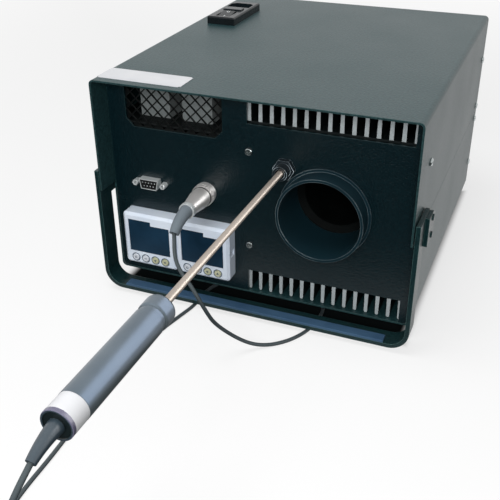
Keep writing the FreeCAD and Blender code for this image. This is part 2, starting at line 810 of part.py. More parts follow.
# Finger guard: pressed rings on two crossed bars whose ends lie under the fan screws.
guard = None
bar_reach = fan_hole_pitch / math.sqrt(2)
for slant in (-45, 45):
    bar = box(-guard_wire, guard_wire, rear_y, guard_face, -bar_reach, bar_reach)
    bar.rotate(V(0, 0, 0), V(0, 1, 0), slant)
    bar.translate(V(well_x, 0, well_z))
    guard = bar if guard is None else guard.fuse(bar)
guard_reach = fan_hole_pitch / 2 + guard_overhang
for count in range(guard_ring_count):
    ring = guard_reach - count * guard_ring_pitch
    hoop = rod_y(rear_y, guard_face, well_x, well_z, ring + guard_wire)
    hoop = hoop.cut(rod_y(rear_y - over, guard_face + over, well_x, well_z, ring - guard_wire))
    guard = guard.fuse(hoop)
for eye_x, eye_z in fan_points:
    guard = guard.fuse(rod_y(rear_y, guard_face, eye_x, eye_z, guard_eye_radius))
save("fan_guard", guard.cut(fan_holes))

# Controller sleeves, bezels and displays.
sleeves = []
face_y = panel_y - bezel_depth
display_y = face_y + display_depth
for name, centre_x, outer_side in (("left", controller_x[0], -1), ("right", controller_x[1], 1)):
    sleeves.append(box(centre_x - sleeve_half, centre_x + sleeve_half, panel_y, panel_y + sleeve_length,
                       controller_z - sleeve_half, controller_z + sleeve_half))
    half = controller_side / 2
    bezel = box(centre_x - half, centre_x + half, face_y, panel_y, controller_z - half, controller_z + half)
    bezel = fillet(bezel, bezel_corner, lambda c: near(abs(c.x - centre_x), half)
                   and near(abs(c.z - controller_z), half))
    bezel = chamfer(bezel, bezel_bevel, lambda c: near(c.y, face_y))
    window_top = controller_z + half - display_drop
    window_low = window_top - display_height

    def window(grow, front, back):
        left = centre_x - display_width / 2 - grow
        right = centre_x + display_width / 2 + grow
        tab_left = right - tab_width
        outline = [V(left, front, window_low - grow), V(right, front, window_low - grow),
                   V(right, front, window_top - tab_height + grow),
                   V(tab_left, front, window_top - tab_height + grow),
                   V(tab_left, front, window_top + grow), V(left, front, window_top + grow)]
        return prism(outline, V(0, back - front, 0))

    bezel = bezel.cut(window(display_fit, face_y - over, display_y))
    scallop_x = centre_x + outer_side * (half + clip_radius - clip_depth)
    bezel = bezel.cut(rod_y(face_y + bezel_bevel, face_y + bezel_depth - bezel_bevel,
                            scallop_x, controller_z, clip_radius))
    for number in range(4):
        button_x = centre_x + (number - 1.5) * button_pitch
        button_z = controller_z - half + button_rise
        bezel = bezel.cut(rod_y(face_y - over, face_y + button_pocket, button_x, button_z,
                                button_radius + button_gap))
        button_end = face_y - button_proud
        button = rod_y(button_end, button_end + button_length, button_x, button_z, button_radius)
        button = fillet(button, button_proud * dome_share, lambda c: near(c.y, button_end))
        save("%s_button_%d" % (name, number + 1), button)
    save(name + "_bezel", bezel)
    save(name + "_display", window(0, display_y - display_thickness, display_y))
save("controller_sleeves", Part.makeCompound(sleeves))


def d_outline(grow, y):
    """Outline of the D-shaped socket, wider at the top."""
    top_half = serial_shell_width / 2 + grow
    low_half = top_half - serial_shell_slope
    rise = serial_shell_height / 2 + grow
    return [V(serial_x - low_half, y, serial_z - rise), V(serial_x + low_half, y, serial_z - rise),
            V(serial_x + top_half, y, serial_z + rise), V(serial_x - top_half, y, serial_z + rise)]


# Serial socket: plated shell with its flange behind the panel, insert, two threaded jack posts.
flange_y = panel_back + serial_flange
shell_y = panel_y - serial_shell_proud
serial_end = panel_y + serial_depth
serial_shell = box(serial_x - serial_flange_width / 2, serial_x + serial_flange_width / 2,
                   panel_back, flange_y, serial_z - serial_flange_height / 2, serial_z + serial_flange_height / 2)
serial_shell = serial_shell.fuse(prism(d_outline(0, shell_y), V(0, serial_end - shell_y, 0)))
serial_shell = serial_shell.cut(prism(d_outline(-serial_shell_wall, shell_y - over),
                                      V(0, serial_end - shell_y + 2 * over, 0)))
post_points = [serial_x - post_spacing / 2, serial_x + post_spacing / 2]
for post_x in post_points:
    serial_shell = serial_shell.cut(rod_y(panel_back - over, flange_y + over, post_x, serial_z,
                                          hole_radius))
save("serial_shell", serial_shell)
insert_y = shell_y + insert_setback
insert = prism(d_outline(-serial_shell_wall, insert_y), V(0, serial_end - insert_y, 0))
for count, rise in ((5, contact_rise), (4, -contact_rise)):
    for place in range(count):
        contact_x = serial_x + (place - (count - 1) / 2) * contact_pitch
        insert = insert.cut(rod_y(shell_y - over, shell_y + contact_depth, contact_x, serial_z + rise,
                                  contact_radius))
save("serial_insert", insert)
posts = []
post_front = panel_y - post_length
for post_x in post_points:
    corners = []
    for corner in range(6):
        angle = math.radians(60 * corner)
        corners.append(V(post_x + post_radius * math.cos(angle), post_front,
                         serial_z + post_radius * math.sin(angle)))
    post = prism(corners, V(0, post_length, 0))
    post = post.fuse(rod_y(panel_y, flange_y + post_tail, post_x, serial_z, screw_radius))
    posts.append(post.cut(rod_y(post_front - over, panel_y - post_wall, post_x, serial_z, post_bore)))
save("serial_posts", Part.makeCompound(posts))

# Sensor socket: flanged barrel through the panel.
socket_face = panel_y - socket_flange
barrel_end = panel_y - socket_barrel_length
socket = rod_y(socket_face, panel_y, socket_x, socket_z, socket_flange_radius)
socket = socket.fuse(rod_y(barrel_end, panel_y + socket_tail, socket_x, socket_z, socket_barrel_radius))
save("sensor_socket", socket)

# Probe plug: shell that meets the socket, fluted ring that turns on it, and a drooping boot.
ring_rear = socket_face - ring_start
ring_front = ring_rear - ring_length
ring_bore = socket_barrel_radius + ring_gap
shell_neck = ring_bore - running_fit
shoulder_y = ring_front - ring_gap
shell_tip_y = shoulder_y - shell_length
lip_y = shell_tip_y + shell_lip_length
lip_radius = shell_end_radius + shell_lip
shell = turned([(0, barrel_end), (shell_neck, barrel_end), (shell_neck, shoulder_y),
                (shell_front_radius, shoulder_y), (shell_front_radius, shoulder_y - shell_collar),
                (shell_end_radius, lip_y), (lip_radius, lip_y), (lip_radius, shell_tip_y),
                (0, shell_tip_y)], socket_x, socket_z)
save("plug_shell", shell)
ring = rod_y(ring_front, ring_rear, socket_x, socket_z, ring_radius)
ring = ring.cut(rod_y(ring_front - over, ring_rear + over, socket_x, socket_z, ring_bore))
for flute in range(ring_flutes):
    angle = 2 * math.pi * flute / ring_flutes
    flute_x = socket_x + ring_radius * math.cos(angle)
    flute_z = socket_z + ring_radius * math.sin(angle)
    ring = ring.cut(rod_y(ring_front - over, ring_rear - ring_plain_end, flute_x, flute_z,
                          ring_flute_radius))
save("plug_ring", ring)
plug_boot, plug_exit = drooping_cone(V(socket_x, shell_tip_y, socket_z), plug_boot_length,
                                     plug_boot_turn, plug_boot_radius, plug_boot_tip)
tip_angle = math.radians(plug_boot_turn)
tip_heading = V(0, -math.cos(tip_angle), -math.sin(tip_angle))
plug_boot = plug_boot.cut(Part.makeCylinder(plug_mouth_radius, plug_mouth_depth + over,
                                            plug_exit - tip_heading * plug_mouth_depth, tip_heading))
save("plug_boot", plug_boot)

# Probe gland: tube through the panel, held by a hexagon nut on the face of the panel.
gland_tip = panel_y - gland_length
gland = rod_y(gland_tip, panel_back + gland_tail, probe_x, probe_z, gland_radius)
gland = gland.cut(rod_y(gland_tip - over, panel_back + gland_tail + over, probe_x, probe_z, gland_bore))
save("probe_gland", gland)
corners = []
for corner in range(6):
    angle = math.radians(60 * corner)
    reach = gland_flats / 2 / math.cos(math.radians(30))
    corners.append(V(probe_x + reach * math.cos(angle), panel_y - gland_nut,
                     probe_z + reach * math.sin(angle)))
gland_nut_solid = prism(corners, V(0, gland_nut, 0))
gland_nut_solid = gland_nut_solid.cut(rod_y(panel_y - gland_nut - over, panel_y + over, probe_x, probe_z,
                                            gland_radius + band_fit))
save("probe_gland_nut", gland_nut_solid)

# Probe stem: steel rod that slides in the pocket of the block.
cap_y0 = panel_y - cap_front
cap_y1 = cap_y0 - cap_length
stem_y0 = cap_y0 - stem_in_cap
stem_y1 = block_y0 + stem_in_block
stem = rod_y(stem_y0, stem_y1, probe_x, probe_z, stem_radius)
stem = fillet(stem, stem_end_round, lambda c: near(c.y, stem_y1))
save("probe_stem", stem)

# Probe cap: round cap with a well rounded nose, on the front of the probe handle.
cap = rod_y(cap_y1, cap_y0, probe_x, probe_z, cap_radius)
cap = fillet(cap, cap_nose_round, lambda c: near(c.y, cap_y0))
cap = fillet(cap, cap_rear_round, lambda c: near(c.y, cap_y1))
cap = cap.cut(rod_y(stem_y0, cap_y0 + over, probe_x, probe_z, stem_radius + band_fit))
save("probe_cap", cap)

# Probe handle: turned tube with a groove behind the cap, stepped down at its end for the marker band.
handle_y1 = cap_y1 - handle_length
band_y1 = handle_y1 - band_length
band_seat = handle_radius - band_thickness
bore_radius = handle_radius - handle_wall
groove_y = cap_y1 - handle_groove_length
groove_radius = handle_radius - handle_groove
handle = turned([(bore_radius, cap_y1), (groove_radius, cap_y1), (groove_radius, groove_y),
                 (handle_radius, groove_y - handle_groove), (handle_radius, handle_y1),
                 (band_seat, handle_y1), (band_seat, band_y1), (bore_radius, band_y1)], probe_x, probe_z)
save("probe_handle", handle)
band = turned([(band_seat + band_fit, handle_y1), (bush_radius, handle_y1), (bush_radius, band_y1),
               (band_seat + band_fit, band_y1)], probe_x, probe_z)
save("probe_band", band)

# Probe bush: rubber end with a spigot in the tube, a raised rim and a drooping boot for the lead.
bush_y = band_y1 - bush_length
dish_y = bush_y + bush_dish
bush = turned([(0, band_y1 + bush_spigot), (bore_radius - band_fit, band_y1 + bush_spigot),
               (bore_radius - band_fit, band_y1), (bush_radius, band_y1), (bush_radius, bush_y),
               (bush_radius - bush_rim, bush_y), (bush_radius - bush_rim, dish_y), (0, dish_y)],
              probe_x, probe_z)
bush = fillet(bush, bush_round, lambda c: near(c.y, bush_y))
bush = bush.fuse(rod_y(bush_y, dish_y, probe_x, probe_z, probe_boot_radius))
probe_boot, probe_exit = drooping_cone(V(probe_x, bush_y, probe_z), probe_boot_length,
                                       probe_boot_turn, probe_boot_radius, probe_boot_tip)
save("probe_bush", bush.fuse(probe_boot))

# Carry strap: flat bar bent to a U round the case, with a lug at the end of each arm.
strap_y0 = front_y + strap_setback
strap_y1 = strap_y0 + strap_width
strap_low = base_z - strap_drop
strap_high = pivot_z + lug_radius
strap = box(-strap_out, strap_out, strap_y0, strap_y1, strap_low, strap_high)
strap = fillet(strap, strap_bend, lambda c: near(abs(c.x), strap_out) and near(c.z, strap_low))
strap_floor = strap_low + strap_thickness
hollow = box(-strap_in, strap_in, strap_y0 - over, strap_y1 + over, strap_floor, strap_high + over)
hollow = fillet(hollow, strap_bend - strap_thickness,
                lambda c: near(abs(c.x), strap_in) and near(c.z, strap_floor))
strap = strap.cut(hollow)
lug = box(strap_in, strap_out, strap_y1 - over, pivot_y, pivot_z - lug_radius, pivot_z + lug_radius)
lug = lug.fuse(rod_x(strap_in, strap_out, pivot_y, pivot_z, lug_radius))
rivet_points = [pivot_z - rivet_spread, pivot_z + rivet_spread]
stud_bores = side_pair(rod_x(strap_in - over, stud_end + panel_fit, pivot_y, pivot_z,
                             stud_radius + running_fit))
plate_end = strap_out + plate_thickness
rivet_holes = []
for rivet_z in rivet_points:
    rivet_holes += side_pair(rod_x(strap_in - over, plate_end + over, pivot_y, rivet_z,
                                   rivet_radius + band_fit))
for wing in side_pair(lug):
    strap = strap.fuse(wing)
for hole in stud_bores + rivet_holes:
    strap = strap.cut(hole)
save("carry_strap", strap.removeSplitter())

# Doubler plates: outer plates riveted to the lugs, which close the pivots.
plate = box(strap_out, plate_end, strap_y1, pivot_y, pivot_z - plate_radius, pivot_z + plate_radius)
plate = plate.fuse(rod_x(strap_out, plate_end, pivot_y, pivot_z, plate_radius)).removeSplitter()
plates = []
for wing in side_pair(plate):
    for hole in stud_bores + rivet_holes:
        wing = wing.cut(hole)
    plates.append(wing)
save("doubler_plates", Part.makeCompound(plates))
rivets = []
for rivet_z in rivet_points:
    rivet = rod_x(strap_in, plate_end, pivot_y, rivet_z, rivet_radius)
    rivet_rim = plate_end + rivet_head
    head = rod_x(plate_end, rivet_rim, pivot_y, rivet_z, rivet_head_radius)
    head = fillet(head, rivet_head * dome_share, lambda c: near(c.x, rivet_rim))
    rivets += side_pair(rivet.fuse(head))
save("plate_rivets", Part.makeCompound(rivets))

# Grip strip: soft strip on the inner face of the strap, along its front edge.
grip = box(-grip_length / 2, grip_length / 2, strap_y0, strap_y0 + grip_width,
           strap_floor, strap_floor + grip_thickness)
grip = fillet(grip, grip_edge, lambda c: near(c.z, strap_floor + grip_thickness))
save("grip_strip", grip)

# Mains module: housing with a raised flange, a switch well, a fuse slot and a plug recess.
flange_top = top_z + inlet_flange
body_low = ceiling_z - inlet_depth
housing = box(inlet_left, inlet_right, inlet_front, inlet_rear, top_z, flange_top)
housing = fillet(housing, inlet_edge, lambda c: near(c.z, flange_top))
housing = housing.fuse(box(body_left, body_right, body_front, body_rear, body_low, top_z))
rocker_y = inlet_front + rocker_from_front
housing = housing.cut(box(inlet_x - rocker_width / 2 - rocker_gap, inlet_x + rocker_width / 2 + rocker_gap,
                          rocker_y - rocker_length / 2 - rocker_gap,
                          rocker_y + rocker_length / 2 + rocker_gap,
                          flange_top - rocker_well, flange_top + over))
drawer_y = inlet_front + drawer_from_front
housing = housing.cut(box(inlet_x - drawer_width / 2 - drawer_gap, inlet_x + drawer_width / 2 + drawer_gap,
                          drawer_y - drawer_length / 2 - drawer_gap,
                          drawer_y + drawer_length / 2 + drawer_gap,
                          flange_top - drawer_depth, flange_top + over))
recess_y = inlet_front + plug_recess_from_front
recess_low = flange_top - plug_recess_depth
recess = box(inlet_x - plug_recess_width / 2, inlet_x + plug_recess_width / 2,
             recess_y - plug_recess_length / 2, recess_y + plug_recess_length / 2,
             recess_low, flange_top + over)
recess = chamfer(recess, plug_recess_corner, lambda c: near(c.y, recess_y + plug_recess_length / 2)
                 and near(abs(c.x - inlet_x), plug_recess_width / 2))
housing = housing.cut(recess)
rocker_pin_z = flange_top - rocker_rise
pin_reach = rocker_width / 2 + rocker_gap + rocker_bearing
housing = housing.cut(rod_x(inlet_x - pin_reach, inlet_x + pin_reach, rocker_y, rocker_pin_z,
                            rocker_pin_radius + running_fit))
save("inlet_housing", housing)
pins = []
for place, shift in ((-1, -pin_offset), (0, pin_offset), (1, -pin_offset)):
    pin_x = inlet_x + place * pin_spread
    pin_y = recess_y + shift
    pins.append(box(pin_x - pin_width / 2, pin_x + pin_width / 2, pin_y - pin_length / 2,
                    pin_y + pin_length / 2, recess_low, recess_low + pin_height))
save("inlet_pins", Part.makeCompound(pins))

# Rocker switch: paddle on two pins, resting with its front end down.
rocker = box(-rocker_width / 2, rocker_width / 2, -rocker_length / 2, rocker_length / 2,
             rocker_rise - rocker_thickness, rocker_rise)
rocker = fillet(rocker, rocker_edge, lambda c: near(c.z, rocker_rise) and near(abs(c.y), rocker_length / 2))
rocker = rocker.fuse(rod_x(-pin_reach + panel_fit, pin_reach - panel_fit, 0, 0, rocker_pin_radius))
rocker.rotate(V(0, 0, 0), V(1, 0, 0), rocker_tilt_deg)
rocker.translate(V(inlet_x, rocker_y, rocker_pin_z))
save("power_rocker", rocker)

# Fuse drawer: carrier that pulls straight up out of its slot, with a lip for a fingernail.
drawer = box(inlet_x - drawer_width / 2, inlet_x + drawer_width / 2,
             drawer_y - drawer_length / 2, drawer_y + drawer_length / 2,
             flange_top - drawer_depth + drawer_gap, flange_top + drawer_lip)
drawer = fillet(drawer, drawer_edge, lambda c: near(c.z, flange_top + drawer_lip))
save("fuse_drawer", drawer)

# Probe lead: limp round cord from the plug boot to the probe. It drops in front of the strap, runs back
# under the strap and the case in a half turn, comes out forward and rises to the probe boot.
lead_z = cord_radius


def hanging(right, forward, down):
    """Point of the lead measured from the axis of the sensor socket."""
    return V(socket_x + right, front_y - forward, socket_z - down)


def lying(right, back):
    """Point of the lead on the floor, measured from the axis of the sensor socket."""
    return V(socket_x + right, front_y + back, lead_z)


def rising(left, forward, height):
    """Point of the lead in front of the unit, measured from the axis of the probe."""
    return V(probe_x - left, front_y - forward, height)


lead_points = [
    plug_exit,
    hanging(4.9, 46.5, 22.1),
    hanging(13.5, 54.5, 27.9),
    hanging(25.3, 60.5, 34.9),
    hanging(31.8, 63.0, 42.4),
    hanging(36.8, 62.0, 52.6),
    hanging(40.6, 57.0, 65.5),
    hanging(50.3, 45.0, 82.7),
    hanging(61.1, 36.0, 93.5),
    lying(71.7, -27.4),
    lying(82.3, -18.5),
    lying(89.5, -8.4),
    lying(94.8, 3.6),
    lying(98.6, 21.0),
    lying(97.1, 40.0),
    lying(87.1, 58.0),
    lying(69.1, 69.0),
    lying(47.1, 72.0),
    lying(25.1, 67.0),
    lying(7.1, 54.0),
    lying(-2.9, 37.0),
    lying(-5.9, 20.0),
    lying(-5.4, 3.0),
    lying(-9.9, -16.0),
    lying(-17.0, -46.0),
    lying(-19.9, -92.0),
    lying(-19.9, -140.0),
    lying(-16.6, -186.0),
    lying(-16.3, -226.0),
    lying(-11.9, -256.0),
    rising(66.9, 282.0, 4.0),
    rising(56.4, 303.0, 17.0),
    rising(42.4, 319.0, 33.0),
    rising(28.4, 328.0, 52.0),
    rising(16.4, 331.5, 73.0),
    rising(7.4, 329.0, probe_z - 38.2),
    rising(2.4, 321.0, probe_z - 22.2),
    rising(0.4, 311.0, probe_z - 10.7),
    probe_exit,
]
edges = []
lead_heading = (lead_points[1] - lead_points[0]).normalize()
lead_landing = (lead_points[-1] - lead_points[-2]).normalize()
lead_start = lead_points[0] - lead_heading * lead_tail
lead_from = lead_start
radii = []
for before, corner, after in zip(lead_points, lead_points[1:], lead_points[2:]):
    arrive = (corner - before).normalize()
    leave = (after - corner).normalize()
    turn = arrive.getAngle(leave)
    setback = bend_share * min((corner - before).Length, (after - corner).Length)
    arc_start = corner - arrive * setback
    arc_end = corner + leave * setback
    radius = setback / math.tan(turn / 2)
    radii.append(radius)
    inward = (leave - arrive).normalize()
    middle = corner + inward * (radius / math.cos(turn / 2) - radius)
    edges.append(Part.LineSegment(lead_from, arc_start).toShape())
    edges.append(Part.Arc(arc_start, middle, arc_end).toShape())
    lead_from = arc_end
edges.append(Part.LineSegment(lead_from, lead_points[-1] + lead_landing * lead_tail).toShape())
lead_wire = Part.Wire(edges)
section = Part.Wire(Part.Circle(lead_start, lead_heading, cord_radius).toShape())
lead = lead_wire.makePipeShell([section], True, True)
expected = math.pi * cord_radius ** 2 * lead_wire.Length
print("lead length %.1f mm, smallest bend radius %.1f mm, volume ratio %.4f"
      % (lead_wire.Length - 2 * lead_tail, min(radii), lead.Volume / expected))
save("probe_lead", lead.cut(plug_boot).cut(probe_boot))
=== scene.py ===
import math

import bmesh
import bpy
from mathutils import Matrix, Vector


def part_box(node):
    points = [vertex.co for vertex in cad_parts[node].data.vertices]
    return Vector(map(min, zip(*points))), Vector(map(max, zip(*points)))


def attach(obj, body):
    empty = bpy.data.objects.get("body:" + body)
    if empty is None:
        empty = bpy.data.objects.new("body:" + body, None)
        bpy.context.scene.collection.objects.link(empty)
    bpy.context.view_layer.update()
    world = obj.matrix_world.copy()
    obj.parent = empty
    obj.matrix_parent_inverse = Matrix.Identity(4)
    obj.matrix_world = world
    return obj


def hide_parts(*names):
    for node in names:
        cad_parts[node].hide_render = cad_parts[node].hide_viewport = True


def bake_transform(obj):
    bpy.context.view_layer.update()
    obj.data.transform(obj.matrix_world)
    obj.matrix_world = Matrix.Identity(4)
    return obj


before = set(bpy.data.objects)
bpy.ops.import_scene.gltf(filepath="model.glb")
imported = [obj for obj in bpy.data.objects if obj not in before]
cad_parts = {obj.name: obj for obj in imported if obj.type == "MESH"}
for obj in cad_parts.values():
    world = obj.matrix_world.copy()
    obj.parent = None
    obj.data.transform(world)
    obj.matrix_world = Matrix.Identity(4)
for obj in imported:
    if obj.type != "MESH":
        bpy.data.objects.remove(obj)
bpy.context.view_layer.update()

# Upper cover and lower tray. Two folded sheets of 1.5 mm steel that lap at mid height and are screwed
# along both sides. They are sprayed with a dark green-black powder coat whose fine grit scatters light,
# so that it goes pale grey where it is seen at a low angle. Its edges are drawn as a paler line, which is
# partly thinned paint and partly painted highlight.
def linear(hex_colour):
    """The linear colour that a shader takes, from an sRGB hex value."""
    channels = [int(hex_colour[place:place + 2], 16) / 255 for place in (1, 3, 5)]
    return tuple(c / 12.92 if c <= 0.04045 else ((c + 0.055) / 1.055) ** 2.4 for c in channels) + (1.0,)


def new_finish(name):
    """An empty finish to add nodes to."""
    finish = bpy.data.materials.new(name)
    finish.use_nodes = True
    finish.node_tree.nodes.clear()
    return finish


def add(finish, kind, inputs, **settings):
    """Adds a node, sets its options, and gives its inputs a value or the output of another node."""
    made = finish.node_tree.nodes.new("ShaderNode" + kind)
    for option, value in settings.items():
        setattr(made, option, value)
    for name, value in inputs.items():
        if isinstance(value, bpy.types.NodeSocket):
            finish.node_tree.links.new(value, made.inputs[name])
        else:
            made.inputs[name].default_value = value
    return made


def dress(finish, *names):
    """Gives a finish to nodes of the frame."""
    for name in names:
        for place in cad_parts[name].material_slots:
            place.material = finish


def powder_coat(name, hollow, grain, edge, grit_mm, smooth, rough, gloss):
    """Sprayed and baked paint: grit as bump and colour, slow clouds in its gloss, and sheet edges at the
    front and rear drawn paler, partly as paint rubbed by handling and partly as painted highlight."""
    coat = new_finish(name)
    place = add(coat, "TexCoord", {}).outputs["Object"]
    grit = add(coat, "TexNoise", {"Vector": place, "Scale": 1000 / grit_mm, "Detail": 2.0}).outputs["Fac"]
    cloud = add(coat, "TexNoise", {"Vector": place, "Scale": 1000 / 60, "Detail": 3.0}).outputs["Fac"]
    # Painted highlight and wear: edges that lean to the front or rear take the paler edge colour.
    rounded = add(coat, "Bevel", {"Radius": 0.0006}, samples=6).outputs[0]
    plain = add(coat, "NewGeometry", {}).outputs["Normal"]
    turn = add(coat, "VectorMath", {0: rounded, 1: plain}, operation="DOT_PRODUCT").outputs["Value"]
    bare = add(coat, "MapRange", {"Value": turn, "From Min": 0.99, "From Max": 0.86}).outputs[0]
    lean = add(coat, "SeparateXYZ", {0: rounded}).outputs["Y"]
    fore_and_aft = add(coat, "Math", {0: lean}, operation="ABSOLUTE").outputs[0]
    rubbed_and_highlighted = add(coat, "MapRange", {"Value": fore_and_aft, "From Min": 0.2, "From Max": 0.5}).outputs[0]
    rim = add(coat, "Math", {0: bare, 1: rubbed_and_highlighted}, operation="MULTIPLY").outputs[0]
    spread = add(coat, "MapRange", {"Value": grit, "From Min": 0.3, "From Max": 0.7}).outputs[0]
    body = add(coat, "Mix", {0: spread, 6: linear(hollow), 7: linear(grain)}, data_type="RGBA").outputs[2]
    colour = add(coat, "Mix", {0: rim, 6: body, 7: linear(edge)}, data_type="RGBA").outputs[2]
    shine = add(coat, "MapRange", {"Value": cloud, "From Min": 0.3, "From Max": 0.7,
                                   "To Min": smooth, "To Max": rough}).outputs[0]
    bumps = add(coat, "Bump", {"Height": grit, "Normal": rounded, "Strength": 0.5,
                               "Distance": 0.0006}).outputs[0]
    skin = add(coat, "BsdfPrincipled", {"Base Color": colour, "Roughness": shine, "Normal": bumps,
                                        "Specular IOR Level": gloss})
    add(coat, "OutputMaterial", {"Surface": skin.outputs[0]})
    return coat


# The grit of the real coats is about 0.3 mm; it is drawn at 1.2 to 1.8 mm so that it shows.
case_coat = powder_coat("textured_powder_coat_green_black", "#0F2628", "#244144", "#2B4745", grit_mm=1.8,
                        smooth=0.41, rough=0.45, gloss=0.54)
dress(case_coat, "upper_cover", "lower_tray")

# Front and rear panels. Flat 2 mm aluminium sheets with folded flanges, sprayed in the same paint as the
# cover but flatter and smoother, so that the plug shows in them only as a faint blurred reflection. Their
# colours are set darker than the cover's, as painted shade for the recess under the hood.
shaded_panel_coat = powder_coat("satin_panel_paint_green_black", "#05151A", "#0A1F24", "#1C3C3E", grit_mm=1.2,
                         smooth=0.2, rough=0.28, gloss=0.5)
dress(shaded_panel_coat, "front_panel", "rear_panel")

# Feet. Moulded black rubber buttons, screwed under the tray and on the rear panel.
# The rubber is dull, with a soft bloom from the mould.
def moulded(name, deep, pale, grain_mm, smooth, rough, depth, gloss):
    """Moulded plastic or rubber: fine spark-eroded grain as bump and in its gloss, with a slow drift in
    colour.
    """
    finish = new_finish(name)
    place = add(finish, "TexCoord", {}).outputs["Object"]
    grain = add(finish, "TexNoise", {"Vector": place, "Scale": 1000 / grain_mm, "Detail": 2.0}).outputs["Fac"]
    drift = add(finish, "TexNoise", {"Vector": place, "Scale": 1000 / 25, "Detail": 3.0}).outputs["Fac"]
    spread = add(finish, "MapRange", {"Value": drift, "From Min": 0.3, "From Max": 0.7}).outputs[0]
    colour = add(finish, "Mix", {0: spread, 6: linear(deep), 7: linear(pale)}, data_type="RGBA").outputs[2]
    shine = add(finish, "MapRange", {"Value": grain, "To Min": smooth, "To Max": rough}).outputs[0]
    rounded = add(finish, "Bevel", {"Radius": 0.0003}, samples=4).outputs[0]
    bumps = add(finish, "Bump", {"Height": grain, "Normal": rounded, "Strength": 0.2,
                                 "Distance": depth}).outputs[0]
    skin = add(finish, "BsdfPrincipled", {"Base Color": colour, "Roughness": shine, "Normal": bumps,
                                          "Specular IOR Level": gloss})
    add(finish, "OutputMaterial", {"Surface": skin.outputs[0]})
    return finish


# Moulded grain is about 0.1 mm; it is drawn at 0.4 to 2 mm so that it shows.
dress(moulded("moulded_black_rubber", "#101112", "#1D1E20", grain_mm=0.8, smooth=0.6, rough=0.8,
              depth=0.0002, gloss=0.4), "base_feet", "rear_feet")

# Inner partition. Folded steel sheet that carries the power supplies and splits the case in two.
# It is drawn near black with a dark crystalline mottle.
def plated(name, deep, pale, crystal_mm, smooth, rough, metallic):
    """Bare or plated metal: mottled crystals in its colour and gloss, with edges that catch light."""
    finish = new_finish(name)
    place = add(finish, "TexCoord", {}).outputs["Object"]
    crystal = add(finish, "TexVoronoi", {"Vector": place, "Scale": 1000 / crystal_mm}).outputs["Color"]
    mottle = add(finish, "TexNoise", {"Vector": place, "Scale": 2000 / crystal_mm,
                                      "Detail": 3.0}).outputs["Fac"]
    share = add(finish, "Mix", {0: 0.5, 6: crystal, 7: mottle}, data_type="RGBA").outputs[2]
    colour = add(finish, "Mix", {0: share, 6: linear(deep), 7: linear(pale)}, data_type="RGBA").outputs[2]
    shine = add(finish, "MapRange", {"Value": mottle, "To Min": smooth, "To Max": rough}).outputs[0]
    rounded = add(finish, "Bevel", {"Radius": 0.0003}, samples=4).outputs[0]
    skin = add(finish, "BsdfPrincipled", {"Base Color": colour, "Roughness": shine, "Normal": rounded,
                                          "Metallic": metallic})
    add(finish, "OutputMaterial", {"Surface": skin.outputs[0]})
    return finish


# Crystals of plate are about 0.2 mm; they are drawn at 1.2 to 3 mm so that they show.
dress(plated("near_black_mottled_steel", "#05090A", "#0C1112", crystal_mm=3.0, smooth=0.65, rough=0.8,
             metallic=0.0), "inner_partition")

# Power supplies. Two closed modules in light grey painted steel, standing on the shelf of the partition.
# Smooth enamel, pale enough to show through the mesh in front of them.
supply_coat = powder_coat("smooth_light_grey_enamel", "#848B8B", "#929999", "#A4AAAA", grit_mm=1.2,
                          smooth=0.45, rough=0.55, gloss=0.4)
dress(supply_coat, "power_supplies")

# Control board. Glass-fibre card with green solder mask and moulded parts on it.
# The mask is a thin glossy lacquer.
dress(moulded("green_solder_mask", "#0C3A22", "#17603A", grain_mm=1.5, smooth=0.25, rough=0.4, depth=0.0001,
              gloss=0.5), "control_board")

# Vent mesh and finger guard. Expanded steel sheet behind the upper left opening, and pressed rings over
# the fan. Both are dipped in black enamel, which runs smooth round the strands and catches light there.
dress(moulded("black_stove_enamel", "#020404", "#060909", grain_mm=0.8, smooth=0.3, rough=0.4,
              depth=0.00005, gloss=0.5), "vent_mesh", "fan_guard")

# Fan. Glass-filled black plastic frame with a seven-bladed rotor that turns on the axle. The sleeves of
# the controllers are moulded in the same plastic, which is dull with a fine grain.
dress(moulded("glass_filled_black_plastic", "#0C0D0E", "#17181A", grain_mm=0.6, smooth=0.4, rough=0.55,
              depth=0.0001, gloss=0.4), "fan_frame", "fan_rotor", "controller_sleeves")

# Heat sinks. Extruded aluminium, black anodised and then sawn to length, so that the ends of the fins
# show bare and pale between the slots of the panel. The die leaves fine lines along the fins.
sink_metal = new_finish("black_anodised_extrusion_sawn_ends")
well_height = 0.0995
fins_from_well = 0.064
place = add(sink_metal, "TexCoord", {}).outputs["Object"]
# Die lines and saw marks are about 0.2 mm apart; they are drawn at 1 mm so that they show.
stretch = add(sink_metal, "Mapping", {"Vector": place, "Scale": (1000.0, 12.0, 1000.0)}).outputs[0]
lines = add(sink_metal, "TexNoise", {"Vector": stretch, "Scale": 1.0, "Detail": 2.0}).outputs["Fac"]
plain = add(sink_metal, "NewGeometry", {}).outputs["Normal"]
lean = add(sink_metal, "SeparateXYZ", {0: plain}).outputs["Y"]
fore_and_aft = add(sink_metal, "Math", {0: lean}, operation="ABSOLUTE").outputs[0]
sawn = add(sink_metal, "MapRange", {"Value": fore_and_aft, "From Min": 0.7, "From Max": 0.9}).outputs[0]
